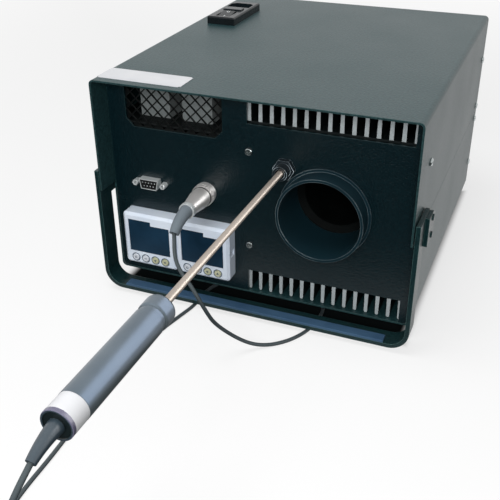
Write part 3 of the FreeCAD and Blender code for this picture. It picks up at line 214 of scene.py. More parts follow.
# Only the fins, away from the well's height, take the pale sawn ends; the base plates, nearer the well, stay
# dark.
height = add(sink_metal, "SeparateXYZ", {0: place}).outputs["Z"]
from_well = add(sink_metal, "Math", {0: height, 1: well_height}, operation="SUBTRACT").outputs[0]
away = add(sink_metal, "Math", {0: from_well}, operation="ABSOLUTE").outputs[0]
on_fins = add(sink_metal, "Math", {0: away, 1: fins_from_well}, operation="GREATER_THAN").outputs[0]
sawn_fins = add(sink_metal, "Math", {0: sawn, 1: on_fins}, operation="MULTIPLY").outputs[0]
bare = add(sink_metal, "Mix", {0: lines, 6: linear("#9CA5A8"), 7: linear("#C4CCCE")},
           data_type="RGBA").outputs[2]
dyed = add(sink_metal, "Mix", {0: lines, 6: linear("#0A0F10"), 7: linear("#161D1E")},
           data_type="RGBA").outputs[2]
colour = add(sink_metal, "Mix", {0: sawn_fins, 6: dyed, 7: bare}, data_type="RGBA").outputs[2]
shine = add(sink_metal, "MapRange", {"Value": lines, "To Min": 0.45, "To Max": 0.6}).outputs[0]
bumps = add(sink_metal, "Bump", {"Height": lines, "Strength": 0.2, "Distance": 0.0001}).outputs[0]
skin = add(sink_metal, "BsdfPrincipled", {"Base Color": colour, "Roughness": shine, "Normal": bumps,
                                          "Metallic": 0.2})
add(sink_metal, "OutputMaterial", {"Surface": skin.outputs[0]})
dress(sink_metal, "upper_heat_sink", "lower_heat_sink")

# Heat block, its foam jacket, the thermoelectric modules and the bolts that clamp them to the sinks.
# The block is drawn near black all over, as painted shade, so that the well reads as a dark hole.
dress(moulded("near_black_block_painted_shade", "#050707", "#0B0E0E", grain_mm=1.5, smooth=0.45, rough=0.6,
              depth=0.0001, gloss=0.15), "heat_block")
dress(moulded("closed_cell_foam", "#151617", "#232426", grain_mm=1.4, smooth=0.8, rough=0.95, depth=0.0004,
              gloss=0.2), "block_insulation")
dress(moulded("white_alumina_ceramic", "#D2D2CC", "#E4E4DF", grain_mm=0.8, smooth=0.4, rough=0.5,
              depth=0.00005, gloss=0.4), "thermoelectric_modules")

# Well collar. Turned aluminium tube, black anodised, that lines the mouth of the well.
# The cutting tool leaves fine rings. The sharp corners are drawn pale in patches, as metal worn bare
# and as painted highlight on the rim.
collar_metal = new_finish("black_anodised_aluminium")
place = add(collar_metal, "TexCoord", {}).outputs["Object"]
well_low, well_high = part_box("well_collar")
well_centre = ((well_low.x + well_high.x) / 2, 0.0, (well_low.z + well_high.z) / 2)
centred = add(collar_metal, "VectorMath", {0: place, 1: well_centre}, operation="SUBTRACT").outputs[0]
# Turning marks are about 0.1 mm apart; they are drawn at 1.2 mm so that they show.
rings = add(collar_metal, "TexWave", {"Vector": centred, "Scale": 1000 / 1.2 / math.tau, "Distortion": 1.0,
                                      "Detail": 2.0}, wave_type="RINGS", rings_direction="Y").outputs["Fac"]
rounded = add(collar_metal, "Bevel", {"Radius": 0.0007}, samples=6).outputs[0]
plain = add(collar_metal, "NewGeometry", {}).outputs["Normal"]
turn = add(collar_metal, "VectorMath", {0: rounded, 1: plain}, operation="DOT_PRODUCT").outputs["Value"]
# Painted highlight and wear: the sharp corners turn pale, in patches.
worn_and_highlighted = add(collar_metal, "MapRange", {"Value": turn, "From Min": 0.98, "From Max": 0.84}).outputs[0]
dye = add(collar_metal, "Mix", {0: rings, 6: linear("#0E2229"), 7: linear("#162C34")},
          data_type="RGBA").outputs[2]
patches = add(collar_metal, "TexNoise", {"Vector": place, "Scale": 1000 / 30, "Detail": 2.0}).outputs["Fac"]
rubbed_and_highlighted = add(collar_metal, "MapRange", {"Value": patches, "From Min": 0.4, "From Max": 0.65,
                                        "To Min": 0.2, "To Max": 0.9}).outputs[0]
bare = add(collar_metal, "Math", {0: worn_and_highlighted, 1: rubbed_and_highlighted}, operation="MULTIPLY").outputs[0]
colour = add(collar_metal, "Mix", {0: bare, 6: dye, 7: linear("#A3B0B4")}, data_type="RGBA").outputs[2]
bumps = add(collar_metal, "Bump", {"Height": rings, "Normal": rounded, "Strength": 0.1,
                                   "Distance": 0.0001}).outputs[0]
skin = add(collar_metal, "BsdfPrincipled", {"Base Color": colour, "Roughness": 0.32, "Normal": bumps,
                                            "Specular IOR Level": 0.2})
add(collar_metal, "OutputMaterial", {"Surface": skin.outputs[0]})
dress(collar_metal, "well_collar")

# Probe gland. Black nylon sleeve with flats for a spanner and its nut.
# Moulded with a glossy skin that shows small sharp highlights. Its sharp edges carry a pale bluish
# painted highlight, laid on in patches.
gland_nylon = moulded("glossy_black_nylon", "#10181D", "#1B262D", grain_mm=0.8, smooth=0.2, rough=0.28,
                      depth=0.00005, gloss=0.8)
# Painted highlight: the sharp edges turn pale bluish, in patches.
rounded = add(gland_nylon, "Bevel", {"Radius": 0.0007}, samples=8).outputs[0]
plain = add(gland_nylon, "NewGeometry", {}).outputs["Normal"]
turn = add(gland_nylon, "VectorMath", {0: rounded, 1: plain}, operation="DOT_PRODUCT").outputs["Value"]
worn_and_highlighted = add(gland_nylon, "MapRange", {"Value": turn, "From Min": 0.99, "From Max": 0.86}).outputs[0]
place = add(gland_nylon, "TexCoord", {}).outputs["Object"]
patches = add(gland_nylon, "TexNoise", {"Vector": place, "Scale": 1000 / 9, "Detail": 1.0}).outputs["Fac"]
rubbed_and_highlighted = add(gland_nylon, "MapRange", {"Value": patches, "From Min": 0.45, "From Max": 0.6,
                                       "To Min": 0.1, "To Max": 1.0}).outputs[0]
bare = add(gland_nylon, "Math", {0: worn_and_highlighted, 1: rubbed_and_highlighted}, operation="MULTIPLY").outputs[0]
skin = gland_nylon.node_tree.nodes["Principled BSDF"]
dark = skin.inputs["Base Color"].links[0].from_socket
colour = add(gland_nylon, "Mix", {0: bare, 6: dark, 7: linear("#D2E2EA")}, data_type="RGBA").outputs[2]
gland_nylon.node_tree.links.new(colour, skin.inputs["Base Color"])
dress(gland_nylon, "probe_gland", "probe_gland_nut")

# Serial socket. Drawn steel shell with nickel plate, a black insulator with nine tinned contact sleeves
# pressed into it, and two hexagonal jack posts.
nickel_plate = plated("bright_nickel_plate", "#D8DEDF", "#F6FAFA", crystal_mm=2.0, smooth=0.3, rough=0.45,
                      metallic=0.5)
dress(nickel_plate, "serial_shell", "serial_posts", "inlet_pins")
dress(moulded("black_insulator", "#0B0B0C", "#151516", grain_mm=0.5, smooth=0.4, rough=0.5, depth=0.00005,
              gloss=0.4), "serial_insert")


def new_piece(name, mesh_build, finish, smooth=True):
    """Turns a built mesh into a piece of the scene with its finish."""
    mesh = bpy.data.meshes.new(name)
    bmesh.ops.recalc_face_normals(mesh_build, faces=mesh_build.faces)
    mesh_build.to_mesh(mesh)
    mesh_build.free()
    mesh.materials.append(finish)
    for face in mesh.polygons:
        face.use_smooth = smooth
    piece = bpy.data.objects.new(name, mesh)
    bpy.context.scene.collection.objects.link(piece)
    return piece


def washer(build, x, z, inner, outer, front, back, sides):
    """Adds a closed ring about the Y direction to a mesh."""
    loops = []
    for radius, y in ((inner, front), (outer, front), (outer, back), (inner, back)):
        loops.append([build.verts.new((x + radius * math.cos(turn), y, z + radius * math.sin(turn)))
                      for turn in (math.tau * side / sides for side in range(sides))])
    for loop, following in zip(loops, loops[1:] + loops[:1]):
        for side in range(sides):
            other = (side + 1) % sides
            build.faces.new((loop[side], loop[other], following[other], following[side]))


insert_low, insert_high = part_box("serial_insert")
insert_x = (insert_low.x + insert_high.x) / 2
insert_z = (insert_low.z + insert_high.z) / 2
contact_pitch = 0.00277
row_offset = 0.00142
contact_bore = 0.00034
contact_radius = 0.00056
contact_front = insert_low.y + 0.0001
contact_back = insert_low.y + 0.004
build = bmesh.new()
for count, row_z in ((5, insert_z + row_offset), (4, insert_z - row_offset)):
    for number in range(count):
        contact_x = insert_x + (number - (count - 1) / 2) * contact_pitch
        washer(build, contact_x, row_z, contact_bore, contact_radius, contact_front, contact_back, sides=12)
contacts = new_piece("serial_contacts", build, nickel_plate, smooth=False)
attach(contacts, "case")

# Screws and studs. Zinc-plated steel with low domed heads and cross recesses.
# The plate is bright, and mirrors the white surround in its domes.
dress(plated("zinc_plated_steel", "#8E9696", "#C6CCCC", crystal_mm=1.2, smooth=0.16, rough=0.26,
             metallic=1.0), "case_screws", "panel_screws", "clamp_bolts", "pivot_studs")

# Controllers. Two panel-mounted instruments in black sleeves, each with a pale blue-white bezel and a
# dark tinted window. Four silicone keys below it have printed marks; a dark ring round each key, in the
# same ink, is painted shade for the gap about the key.
bezel_plastic = moulded("pale_blue_white_abs", "#D3DEEC", "#E0E9F4", grain_mm=0.9, smooth=0.38, rough=0.5,
                        depth=0.00006, gloss=0.5)
dress(bezel_plastic, "left_bezel", "right_bezel")
# The 30 mm grain of the windows is the slow waviness of cast sheet.
window = moulded("dark_tinted_acrylic", "#12293A", "#1C374C", grain_mm=30.0, smooth=0.08, rough=0.14,
                 depth=0.00001, gloss=0.2)
dress(window, "left_display", "right_display")
dress(moulded("white_silicone_key", "#C5CBD4", "#D6DBE2", grain_mm=0.6, smooth=0.5, rough=0.65,
              depth=0.00008, gloss=0.4),
      "left_button_1", "left_button_2", "right_button_1", "right_button_2")
dress(moulded("cream_silicone_key", "#B4B595", "#C8C8AC", grain_mm=0.6, smooth=0.5, rough=0.65,
              depth=0.00008, gloss=0.4),
      "left_button_3", "left_button_4", "right_button_3", "right_button_4")
ink = moulded("slate_blue_print", "#3C4C5C", "#4C5C6C", grain_mm=0.4, smooth=0.5, rough=0.6, depth=0.00002,
              gloss=0.4)
print_film = 0.00006
# Painted shade: a dark ring on the bezel round each key stands for the gap about it.
key_shade_bore, key_shade_radius = 0.0033, 0.0039
circle_bore, circle_radius = 0.0006, 0.0011
dash_reach, dash_half = 0.0011, 0.0003
arrow_reach = 0.0012
bezel_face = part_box("left_bezel")[0].y
key_shade_build = bmesh.new()


def flat_mark(build, corners, front, back):
    """Adds a flat plate about the Y direction to a mesh, from its corners in X and Z."""
    faces = [[build.verts.new((x, y, z)) for x, z in corners] for y in (front, back)]
    build.faces.new(faces[0])
    build.faces.new(faces[1])
    for corner in range(len(corners)):
        other = (corner + 1) % len(corners)
        build.faces.new((faces[0][corner], faces[0][other], faces[1][other], faces[1][corner]))


for side in ("left", "right"):
    for number in (1, 2, 3, 4):
        key_low, key_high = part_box("%s_button_%d" % (side, number))
        key_x = (key_low.x + key_high.x) / 2
        key_z = (key_low.z + key_high.z) / 2
        washer(key_shade_build, key_x, key_z, key_shade_bore, key_shade_radius, bezel_face - print_film,
               bezel_face + print_film, sides=40)
        build = bmesh.new()
        front = key_low.y - print_film
        back = key_low.y + print_film
        if number == 1:
            washer(build, key_x, key_z, circle_bore, circle_radius, front, back, sides=24)
        elif number == 2:
            corners = [(key_x + x, key_z + z) for x, z in (
                (-dash_reach, -dash_half), (dash_reach, -dash_half),
                (dash_reach, dash_half), (-dash_reach, dash_half))]
            flat_mark(build, corners, front, back)
        else:
            rise = arrow_reach if number == 4 else -arrow_reach
            corners = [(key_x - arrow_reach, key_z - rise / 2), (key_x + arrow_reach, key_z - rise / 2),
                       (key_x, key_z + rise)]
            flat_mark(build, corners, front, back)
        mark = new_piece("%s_key_mark_%d" % (side, number), build, ink, smooth=False)
        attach(mark, "key_%s_%d" % (side, number))
key_shade_rings = new_piece("key_outline_rings", key_shade_build, ink, smooth=False)
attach(key_shade_rings, "case")

# Mains module. Black thermoplastic inlet let into the top, with a rocker switch and a fuse drawer.
# The rocker has a bar and a ring printed in white for on and off.
dress(moulded("black_thermoplastic", "#0A1013", "#141C20", grain_mm=0.8, smooth=0.2, rough=0.32,
              depth=0.0001, gloss=0.3), "inlet_housing", "power_rocker", "fuse_drawer")
white_ink = moulded("white_print", "#C9CBCB", "#DADCDC", grain_mm=0.4, smooth=0.5, rough=0.6, depth=0.00002,
                    gloss=0.4)
rocker_pin = Vector((-0.0995, 0.046, 0.1935))
rocker_face = 0.0025
rocker_tilt = math.radians(8.0)
bar_half, bar_near, bar_far = 0.0004, 0.0036, 0.0066
off_ring_place, off_ring_bore, off_ring_radius = 0.0049, 0.0010, 0.0016
front = -rocker_face - print_film
back = -rocker_face + print_film
build = bmesh.new()
flat_mark(build, [(-bar_half, -bar_far), (bar_half, -bar_far), (bar_half, -bar_near), (-bar_half, -bar_near)],
          front, back)
washer(build, 0.0, off_ring_place, off_ring_bore, off_ring_radius, front, back, sides=32)
lay_flat = Matrix.Rotation(rocker_tilt - math.pi / 2, 4, "X")
bmesh.ops.transform(build, matrix=Matrix.Translation(rocker_pin) @ lay_flat, verts=build.verts)
rocker_marks = new_piece("rocker_marks", build, white_ink, smooth=False)
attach(rocker_marks, "rocker")

# Carry strap. Bent flat steel bar, painted satin black, that hangs from a stud on each side, with a
# doubler plate riveted over each end and a foam strip along its front bar, whose blue-grey colour is partly
# a painted reflection of the sky on the bar's top.
strap_coat = powder_coat("satin_black_strap_paint", "#0B1E20", "#153032", "#4F706E", grit_mm=1.4,
                         smooth=0.3, rough=0.4, gloss=0.28)
dress(strap_coat, "carry_strap", "doubler_plates", "plate_rivets")
# Partly painted reflection: the strip's blue-grey colour stands for sky mirrored on the bar's top.
dress(moulded("grip_foam_painted_blue_reflection", "#2C4660", "#3C5872", grain_mm=1.2, smooth=0.5, rough=0.65,
              depth=0.0002, gloss=0.4), "grip_strip")
dress(moulded("natural_nylon", "#B9B6AB", "#CBC8BE", grain_mm=0.8, smooth=0.4, rough=0.5, depth=0.00005,
              gloss=0.4), "pivot_washers")

# Sensor plug. Turned brass socket and cable plug with a fluted coupling ring, all nickel plated.
# The tool marks round them smear each highlight along the part. A soft rubber boot guards the lead.
def turned(name, deep, pale, mark_mm, smooth, rough, metallic):
    """Turned or ground metal: fine rings round the Y direction that smear highlights along the part."""
    finish = new_finish(name)
    place = add(finish, "TexCoord", {}).outputs["Object"]
    stretch = add(finish, "Mapping", {"Vector": place, "Scale": (40.0, 1000 / mark_mm, 40.0)}).outputs[0]
    marks = add(finish, "TexNoise", {"Vector": stretch, "Scale": 1.0, "Detail": 2.0}).outputs["Fac"]
    drift = add(finish, "TexNoise", {"Vector": place, "Scale": 1000 / 30, "Detail": 2.0}).outputs["Fac"]
    colour = add(finish, "Mix", {0: drift, 6: linear(deep), 7: linear(pale)}, data_type="RGBA").outputs[2]
    shine = add(finish, "MapRange", {"Value": marks, "To Min": smooth, "To Max": rough}).outputs[0]
    around = add(finish, "Tangent", {}, direction_type="RADIAL", axis="Y").outputs[0]
    rounded = add(finish, "Bevel", {"Radius": 0.0003}, samples=4).outputs[0]
    skin = add(finish, "BsdfPrincipled", {"Base Color": colour, "Roughness": shine, "Normal": rounded,
                                          "Metallic": metallic, "Anisotropic": 0.75,
                                          "Anisotropic Rotation": 0.25, "Tangent": around})
    add(finish, "OutputMaterial", {"Surface": skin.outputs[0]})
    return finish


# Tool marks are about 0.1 mm apart; they are drawn at 0.6 mm so that they show.
dress(turned("turned_nickel_plate", "#E0DEDC", "#F0EEEC", mark_mm=0.6, smooth=0.45, rough=0.55,
             metallic=0.95), "sensor_socket", "plug_shell", "plug_ring")
dress(moulded("flexible_boot_rubber", "#626C73", "#767F86", grain_mm=0.7, smooth=0.5, rough=0.65,
              depth=0.0001, gloss=0.4), "plug_boot")
# A thin black band at the front of the coupling ring is painted shade for the gap between ring and shell,
# and a polished nut closes the shell on the boot.
ring_low, ring_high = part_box("plug_ring")
plug_x = (ring_low.x + ring_high.x) / 2
plug_z = (ring_low.z + ring_high.z) / 2
shell_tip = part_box("plug_shell")[0].y
# Painted shade: a thin black band for the gap between the coupling ring and the shell.
gap_shade_bore, gap_shade_radius = 0.0070, 0.0081
gap_shade_front, gap_shade_back = ring_low.y - 0.0012, ring_low.y - 0.0003
nut_bore, nut_radius = 0.0054, 0.0064
nut_front, nut_back = shell_tip - 0.0002, shell_tip + 0.0034
build = bmesh.new()
washer(build, plug_x, plug_z, gap_shade_bore, gap_shade_radius, gap_shade_front, gap_shade_back, sides=64)
gap_shade_black = moulded("black_painted_gap_shade", "#0A0C0D", "#141718", grain_mm=0.6, smooth=0.5, rough=0.6,
                      depth=0.00005, gloss=0.4)
plug_gap_shade = new_piece("plug_gap_painted_shade", build, gap_shade_black, smooth=False)
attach(plug_gap_shade, "case")
build = bmesh.new()
washer(build, plug_x, plug_z, nut_bore, nut_radius, nut_front, nut_back, sides=64)
end_nut = new_piece("plug_end_nut", build, nickel_plate, smooth=False)
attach(end_nut, "case")

# Probe. Ground stainless stem, tinted straw by heat, in a turned dark grey plastic handle with a cap and
# a plain white sleeve. The sheen of the handle is tinted blue, a painted reflection of a bluish light.
dress(turned("heat_tinted_stainless", "#BAB0A6", "#CAC0B6", mark_mm=0.8, smooth=0.53, rough=0.59,
             metallic=0.9), "probe_stem")
handle_plastic = moulded("dark_grey_acetal_painted_blue_sheen", "#525A5D", "#5D6568", grain_mm=0.9, smooth=0.26, rough=0.34,
                         depth=0.00008, gloss=1.0)
# Painted reflection: the gloss of the handle is tinted blue.
handle_plastic.node_tree.nodes["Principled BSDF"].inputs["Specular Tint"].default_value = linear("#B6D3FF")
dress(handle_plastic, "probe_cap", "probe_handle")
dress(moulded("white_pvc_sleeve", "#D8D9DC", "#E3E4E6", grain_mm=0.8, smooth=0.35, rough=0.45,
              depth=0.00005, gloss=0.5), "probe_band")

# Probe bush. One rubber moulding with a violet-grey rim, a black dished face and a dark blue-grey boot.
# The colours part at the inside of the rim and at the root of the boot.
bush_rubber = new_finish("two_tone_moulded_rubber")
bush_axis = (0.0234, 0.0, 0.1312)
bush_end = -0.4293
rim_inside = 0.0086
place = add(bush_rubber, "TexCoord", {}).outputs["Object"]
grain = add(bush_rubber, "TexNoise", {"Vector": place, "Scale": 1000 / 0.7, "Detail": 2.0}).outputs["Fac"]
offset = add(bush_rubber, "VectorMath", {0: place, 1: bush_axis}, operation="SUBTRACT").outputs[0]
across = add(bush_rubber, "VectorMath", {0: offset, 1: (1.0, 0.0, 1.0)}, operation="MULTIPLY").outputs[0]
reach = add(bush_rubber, "VectorMath", {0: across}, operation="LENGTH").outputs["Value"]
along = add(bush_rubber, "SeparateXYZ", {0: place}).outputs["Y"]
inside = add(bush_rubber, "Math", {0: reach, 1: rim_inside}, operation="LESS_THAN").outputs[0]
above = add(bush_rubber, "Math", {0: along, 1: bush_end}, operation="GREATER_THAN").outputs[0]
boot = add(bush_rubber, "Mix", {0: grain, 6: linear("#2A363E"), 7: linear("#36434C")},
           data_type="RGBA").outputs[2]
rim = add(bush_rubber, "Mix", {0: grain, 6: linear("#5A586E"), 7: linear("#6A687E")},
          data_type="RGBA").outputs[2]
dish = add(bush_rubber, "Mix", {0: grain, 6: linear("#0C1416"), 7: linear("#162022")},
           data_type="RGBA").outputs[2]
middle = add(bush_rubber, "Mix", {0: above, 6: boot, 7: dish}, data_type="RGBA").outputs[2]
colour = add(bush_rubber, "Mix", {0: inside, 6: rim, 7: middle}, data_type="RGBA").outputs[2]
shine = add(bush_rubber, "MapRange", {"Value": grain, "To Min": 0.26, "To Max": 0.34}).outputs[0]
bumps = add(bush_rubber, "Bump", {"Height": grain, "Strength": 0.2, "Distance": 0.0001}).outputs[0]
skin = add(bush_rubber, "BsdfPrincipled", {"Base Color": colour, "Roughness": shine, "Normal": bumps,
                                           "Specular IOR Level": 0.8})
add(bush_rubber, "OutputMaterial", {"Surface": skin.outputs[0]})
dress(bush_rubber, "probe_bush")

# Probe lead. Limp 3 mm cable in a grey PVC sheath. It drops from the plug in front of the strap, runs
# back under the case in a half turn, comes out forwards and rises into the bush of the probe.
lead_diameter = 0.003
lead_route = [
    (-0.04364, -0.18554, 0.09267), (-0.0431, -0.18673, 0.09116), (-0.0382, -0.1975, 0.0774),
    (-0.0296, -0.2055, 0.0716), (-0.0178, -0.2115, 0.0646), (-0.0113, -0.214, 0.0571),
    (-0.0063, -0.213, 0.0469), (-0.0025, -0.208, 0.034), (0.0072, -0.196, 0.0168),
    (0.018, -0.187, 0.006), (0.0286, -0.1784, 0.0015), (0.0392, -0.1695, 0.0015),
    (0.0464, -0.1594, 0.0015), (0.0517, -0.1474, 0.0015), (0.0555, -0.130, 0.0015),
    (0.054, -0.111, 0.0015), (0.044, -0.093, 0.0015), (0.026, -0.082, 0.0015),
    (0.004, -0.079, 0.0015), (-0.018, -0.084, 0.0015), (-0.036, -0.097, 0.0015),
    (-0.046, -0.114, 0.0015), (-0.049, -0.131, 0.0015), (-0.0485, -0.148, 0.0015),
    (-0.053, -0.167, 0.0015), (-0.0601, -0.197, 0.0015), (-0.063, -0.243, 0.0015),
    (-0.063, -0.291, 0.0015), (-0.0597, -0.337, 0.0015), (-0.0594, -0.377, 0.0015),
    (-0.055, -0.407, 0.0015), (-0.0435, -0.433, 0.004), (-0.033, -0.454, 0.017),
    (-0.019, -0.470, 0.033), (-0.005, -0.479, 0.052), (0.007, -0.4825, 0.073),
    (0.016, -0.480, 0.093), (0.021, -0.472, 0.109), (0.023, -0.462, 0.1205),
    (0.0234, -0.44969, 0.12726), (0.02344, -0.44838, 0.12798),
]


def smooth_line(name, control_points):
    """Points along the NURBS spline that has these control points."""
    curve = bpy.data.curves.new(name, "CURVE")
    curve.dimensions = "3D"
    spline = curve.splines.new("NURBS")
    spline.points.add(len(control_points) - 1)
    for point, place in zip(spline.points, control_points):
        point.co = (*place, 1.0)
    spline.order_u = 3
    spline.use_endpoint_u = True
    spline.resolution_u = 10
    holder = bpy.data.objects.new(name, curve)
    bpy.context.scene.collection.objects.link(holder)
    bpy.context.view_layer.update()
    line = bpy.data.meshes.new_from_object(holder)
    points = [vertex.co.copy() for vertex in line.vertices]
    bpy.data.objects.remove(holder)
    bpy.data.curves.remove(curve)
    bpy.data.meshes.remove(line)
    return points


def tube(points, radius, sides):
    """A closed round tube along a line of points."""
    build = bmesh.new()
    heading = (points[1] - points[0]).normalized()
    across = heading.orthogonal().normalized()
    rings = []
    for number, centre in enumerate(points):
        before = points[max(number - 1, 0)]
        after = points[min(number + 1, len(points) - 1)]
        heading = (after - before).normalized()
        across = (across - heading * across.dot(heading)).normalized()
        up = heading.cross(across)
        rings.append([build.verts.new(centre + (across * math.cos(turn) + up * math.sin(turn)) * radius)
                      for turn in (math.tau * side / sides for side in range(sides))])
    for ring, following in zip(rings, rings[1:]):
        for side in range(sides):
            other = (side + 1) % sides
            build.faces.new((ring[side], ring[other], following[other], following[side]))
    build.faces.new(rings[0])
    build.faces.new(rings[-1])
    return build


lead_line = smooth_line("lead_line", lead_route)
lead_sheath = moulded("grey_pvc_sheath", "#353D40", "#454D50", grain_mm=0.9, smooth=0.42, rough=0.55,
                      depth=0.0001, gloss=0.5)
lead = new_piece("probe_lead_cable", tube(lead_line, lead_diameter / 2, 14), lead_sheath)
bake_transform(lead)
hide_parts("probe_lead")

# Label. Bare white polyester plate stuck to the front left corner of the cover.
# The film is satin and lies flat, with rounded corners.
label_low = Vector((-0.1255, -0.1435, 0.189))
label_size = Vector((0.0712, 0.0243, 0.0003))
label_corner = 0.0015
build = bmesh.new()
bmesh.ops.create_cube(build, size=1.0)
for vertex in build.verts:
    vertex.co = [label_low[axis] + label_size[axis] * (vertex.co[axis] + 0.5) for axis in range(3)]
upright = [edge for edge in build.edges
           if abs(edge.verts[0].co.z - edge.verts[1].co.z) > label_size.z / 2]
bmesh.ops.bevel(build, geom=upright, offset=label_corner, segments=4, affect="EDGES")
label_film = moulded("white_polyester_film", "#C8CACE", "#D4D5D8", grain_mm=2.0, smooth=0.3, rough=0.4,
                     depth=0.00003, gloss=0.5)
label = new_piece("rating_label", build, label_film, smooth=False)
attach(label, "case")

# Studio. White floor paper that shows the object's shadow, with a painted near-black shadow under the case,
# and a white surround. Two soft boxes light the object, and two cards give highlights to its metal and probe.
floor_reach = 6.0
painted_shadow_centre = (0.0, 0.011, 0.0)
painted_shadow_inset_x, painted_shadow_inset_y = 0.008, 0.011
painted_shadow_blur = 0.012
fade_start, fade_end = 0.2, 1.2
white_in_gloss, white_to_camera = 0.96, 0.7
mirror_reach = 0.1
build = bmesh.new()
bmesh.ops.create_grid(build, x_segments=1, y_segments=1, size=floor_reach)
floor_paper = new_finish("white_floor_paper")
tray_low, tray_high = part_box("lower_tray")
place = add(floor_paper, "TexCoord", {}).outputs["Object"]
centred = add(floor_paper, "VectorMath", {0: place, 1: painted_shadow_centre}, operation="SUBTRACT").outputs[0]
across = add(floor_paper, "VectorMath", {0: centred}, operation="ABSOLUTE").outputs[0]
painted_shadow_half = (tray_high.x - painted_shadow_inset_x, tray_high.y - painted_shadow_inset_y, 0.0)
past_edge = add(floor_paper, "VectorMath", {0: across, 1: painted_shadow_half}, operation="SUBTRACT").outputs[0]
beyond = add(floor_paper, "SeparateXYZ", {0: past_edge})
clear = add(floor_paper, "Math", {0: beyond.outputs["X"], 1: beyond.outputs["Y"]},
            operation="MAXIMUM").outputs[0]
outside_painted_shadow = add(floor_paper, "MapRange", {"Value": clear, "From Min": 0.0, "From Max": painted_shadow_blur},
          interpolation_type="SMOOTHSTEP").outputs[0]
# Near the object the camera sees part white and part lit paper, so that the shadow shows. The paper turns
# all white farther off, and what mirrors the floor sees it white behind the front edge of the case.
path = add(floor_paper, "LightPath", {})
seen = path.outputs["Is Camera Ray"]
near_white = add(floor_paper, "MapRange", {"Value": seen, "To Min": white_in_gloss,
                                           "To Max": white_to_camera}).outputs[0]
white = add(floor_paper, "MapRange", {"Value": clear, "From Min": fade_start, "From Max": fade_end,
                                      "To Min": near_white, "To Max": 1.0}).outputs[0]
depth = add(floor_paper, "SeparateXYZ", {0: place}).outputs["Y"]
behind = add(floor_paper, "MapRange", {"Value": depth, "From Min": tray_low.y - mirror_reach,
                                       "From Max": tray_low.y}).outputs[0]
mirrored = add(floor_paper, "Math", {0: path.outputs["Is Glossy Ray"], 1: behind},
               operation="MULTIPLY").outputs[0]
shown = add(floor_paper, "Math", {0: seen, 1: mirrored}, operation="MAXIMUM").outputs[0]
open_floor = add(floor_paper, "Math", {0: outside_painted_shadow, 1: white}, operation="MULTIPLY").outputs[0]
share = add(floor_paper, "Math", {0: shown, 1: open_floor}, operation="MULTIPLY").outputs[0]
paper = add(floor_paper, "Mix", {0: seen, 6: linear("#8C8C8C"), 7: linear("#F0F0F0")},
            data_type="RGBA").outputs[2]
# Painted shadow: under the case the paper turns near black, fading out just past the inset edges of the tray.
painted_shadow_colour = add(floor_paper, "Mix", {0: outside_painted_shadow, 6: linear("#15191A"), 7: paper}, data_type="RGBA").outputs[2]
# Painted shadow in reflections: what mirrors the paper in front of the case sees it dark grey.
paper_with_painted_shadows = add(floor_paper, "Mix", {0: path.outputs["Is Glossy Ray"], 6: painted_shadow_colour, 7: linear("#303434")},
             data_type="RGBA").outputs[2]
matt = add(floor_paper, "BsdfDiffuse", {"Color": paper_with_painted_shadows}).outputs[0]
glow = add(floor_paper, "Emission", {"Color": linear("#FFFFFF"), "Strength": 1.0}).outputs[0]
both = add(floor_paper, "MixShader", {0: share, 1: matt, 2: glow}).outputs[0]
add(floor_paper, "OutputMaterial", {"Surface": both})
floor = new_piece("studio_floor", build, floor_paper, smooth=False)

world = bpy.data.worlds.new("white_surround")
bpy.context.scene.world = world
world.use_nodes = True
world.node_tree.nodes.clear()
path = add(world, "LightPath", {})
mirrored = add(world, "Math", {0: path.outputs["Is Glossy Ray"], 1: path.outputs["Is Transmission Ray"]},
               operation="MAXIMUM").outputs[0]
shown = add(world, "Math", {0: path.outputs["Is Camera Ray"], 1: mirrored}, operation="MAXIMUM").outputs[0]
level = add(world, "MapRange", {"Value": shown, "To Min": 0.25, "To Max": 1.0}).outputs[0]
sky = add(world, "Background", {"Color": linear("#FFFFFF"), "Strength": level}).outputs[0]
add(world, "OutputWorld", {"Surface": sky})


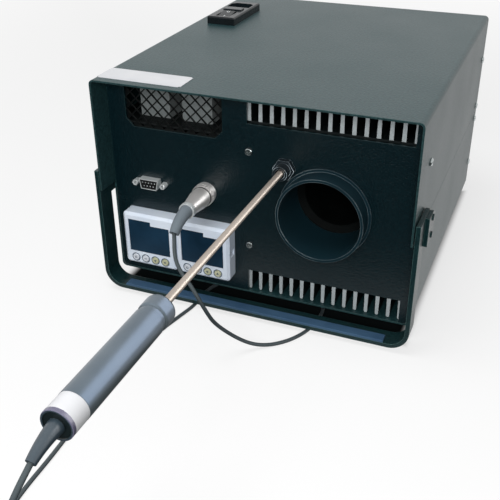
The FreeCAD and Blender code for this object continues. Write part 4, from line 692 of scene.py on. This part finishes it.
def lamp(name, place, target, size, power, for_gloss):
    """A square white soft box that faces the object, either to light it or only to show in its gloss."""
    light = bpy.data.lights.new(name, "AREA")
    light.energy = power
    light.size = size
    holder = bpy.data.objects.new(name, light)
    bpy.context.scene.collection.objects.link(holder)
    holder.location = place
    holder.rotation_euler = (Vector(target) - Vector(place)).to_track_quat("-Z", "Y").to_euler()
    holder.visible_glossy = for_gloss
    holder.visible_diffuse = not for_gloss
    holder.visible_camera = False
    return holder


lamp("top_soft_box", (-0.2, -0.3, 1.3), (0.0, -0.2, 0.0), size=0.7, power=9.0, for_gloss=False)
lamp("front_soft_box", (0.25, -1.15, 0.6), (0.0, -0.2, 0.1), size=0.5, power=9.5, for_gloss=False)
# Each card is screened off from the rest of the object, so that it puts no glare on the paint.
metal_card = lamp("metal_highlight_card", (1.0, -0.4, 0.55), (0.0, -0.2, 0.1),
                  size=0.35, power=12.0, for_gloss=True)
probe_card = lamp("probe_highlight_card", (1.06, 1.2, 0.72), (0.0, -0.35, 0.1),
                  size=2.2, power=48.0, for_gloss=True)
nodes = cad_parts
for card, pieces in (
        (metal_card, [end_nut, contacts] + [nodes[name] for name in (
            "sensor_socket", "plug_shell", "plug_ring", "serial_shell", "serial_posts", "panel_screws",
            "probe_stem", "probe_gland", "probe_gland_nut", "well_collar")]),
        (probe_card, [nodes[name] for name in (
            "probe_handle", "probe_cap", "probe_bush", "probe_gland", "probe_gland_nut")])):
    lit_pieces = bpy.data.collections.new("lit_by_" + card.name)
    for piece in pieces:
        lit_pieces.objects.link(piece)
    card.light_linking.receiver_collection = lit_pieces

# Camera. Stands where the photographer stood, in front of the right-hand corner and above it.
camera = bpy.data.cameras.new("photo_camera")
camera.sensor_width = 36.0
camera.lens = 57.01
camera_holder = bpy.data.objects.new("photo_camera", camera)
bpy.context.scene.collection.objects.link(camera_holder)
camera_holder.location = (0.206709, -0.643726, 0.377516)
camera_holder.rotation_euler = [math.radians(turn) for turn in (59.8287, 0.4518, 22.1637)]
bpy.context.scene.camera = camera_holder
bpy.context.scene.view_settings.view_transform = "Standard"
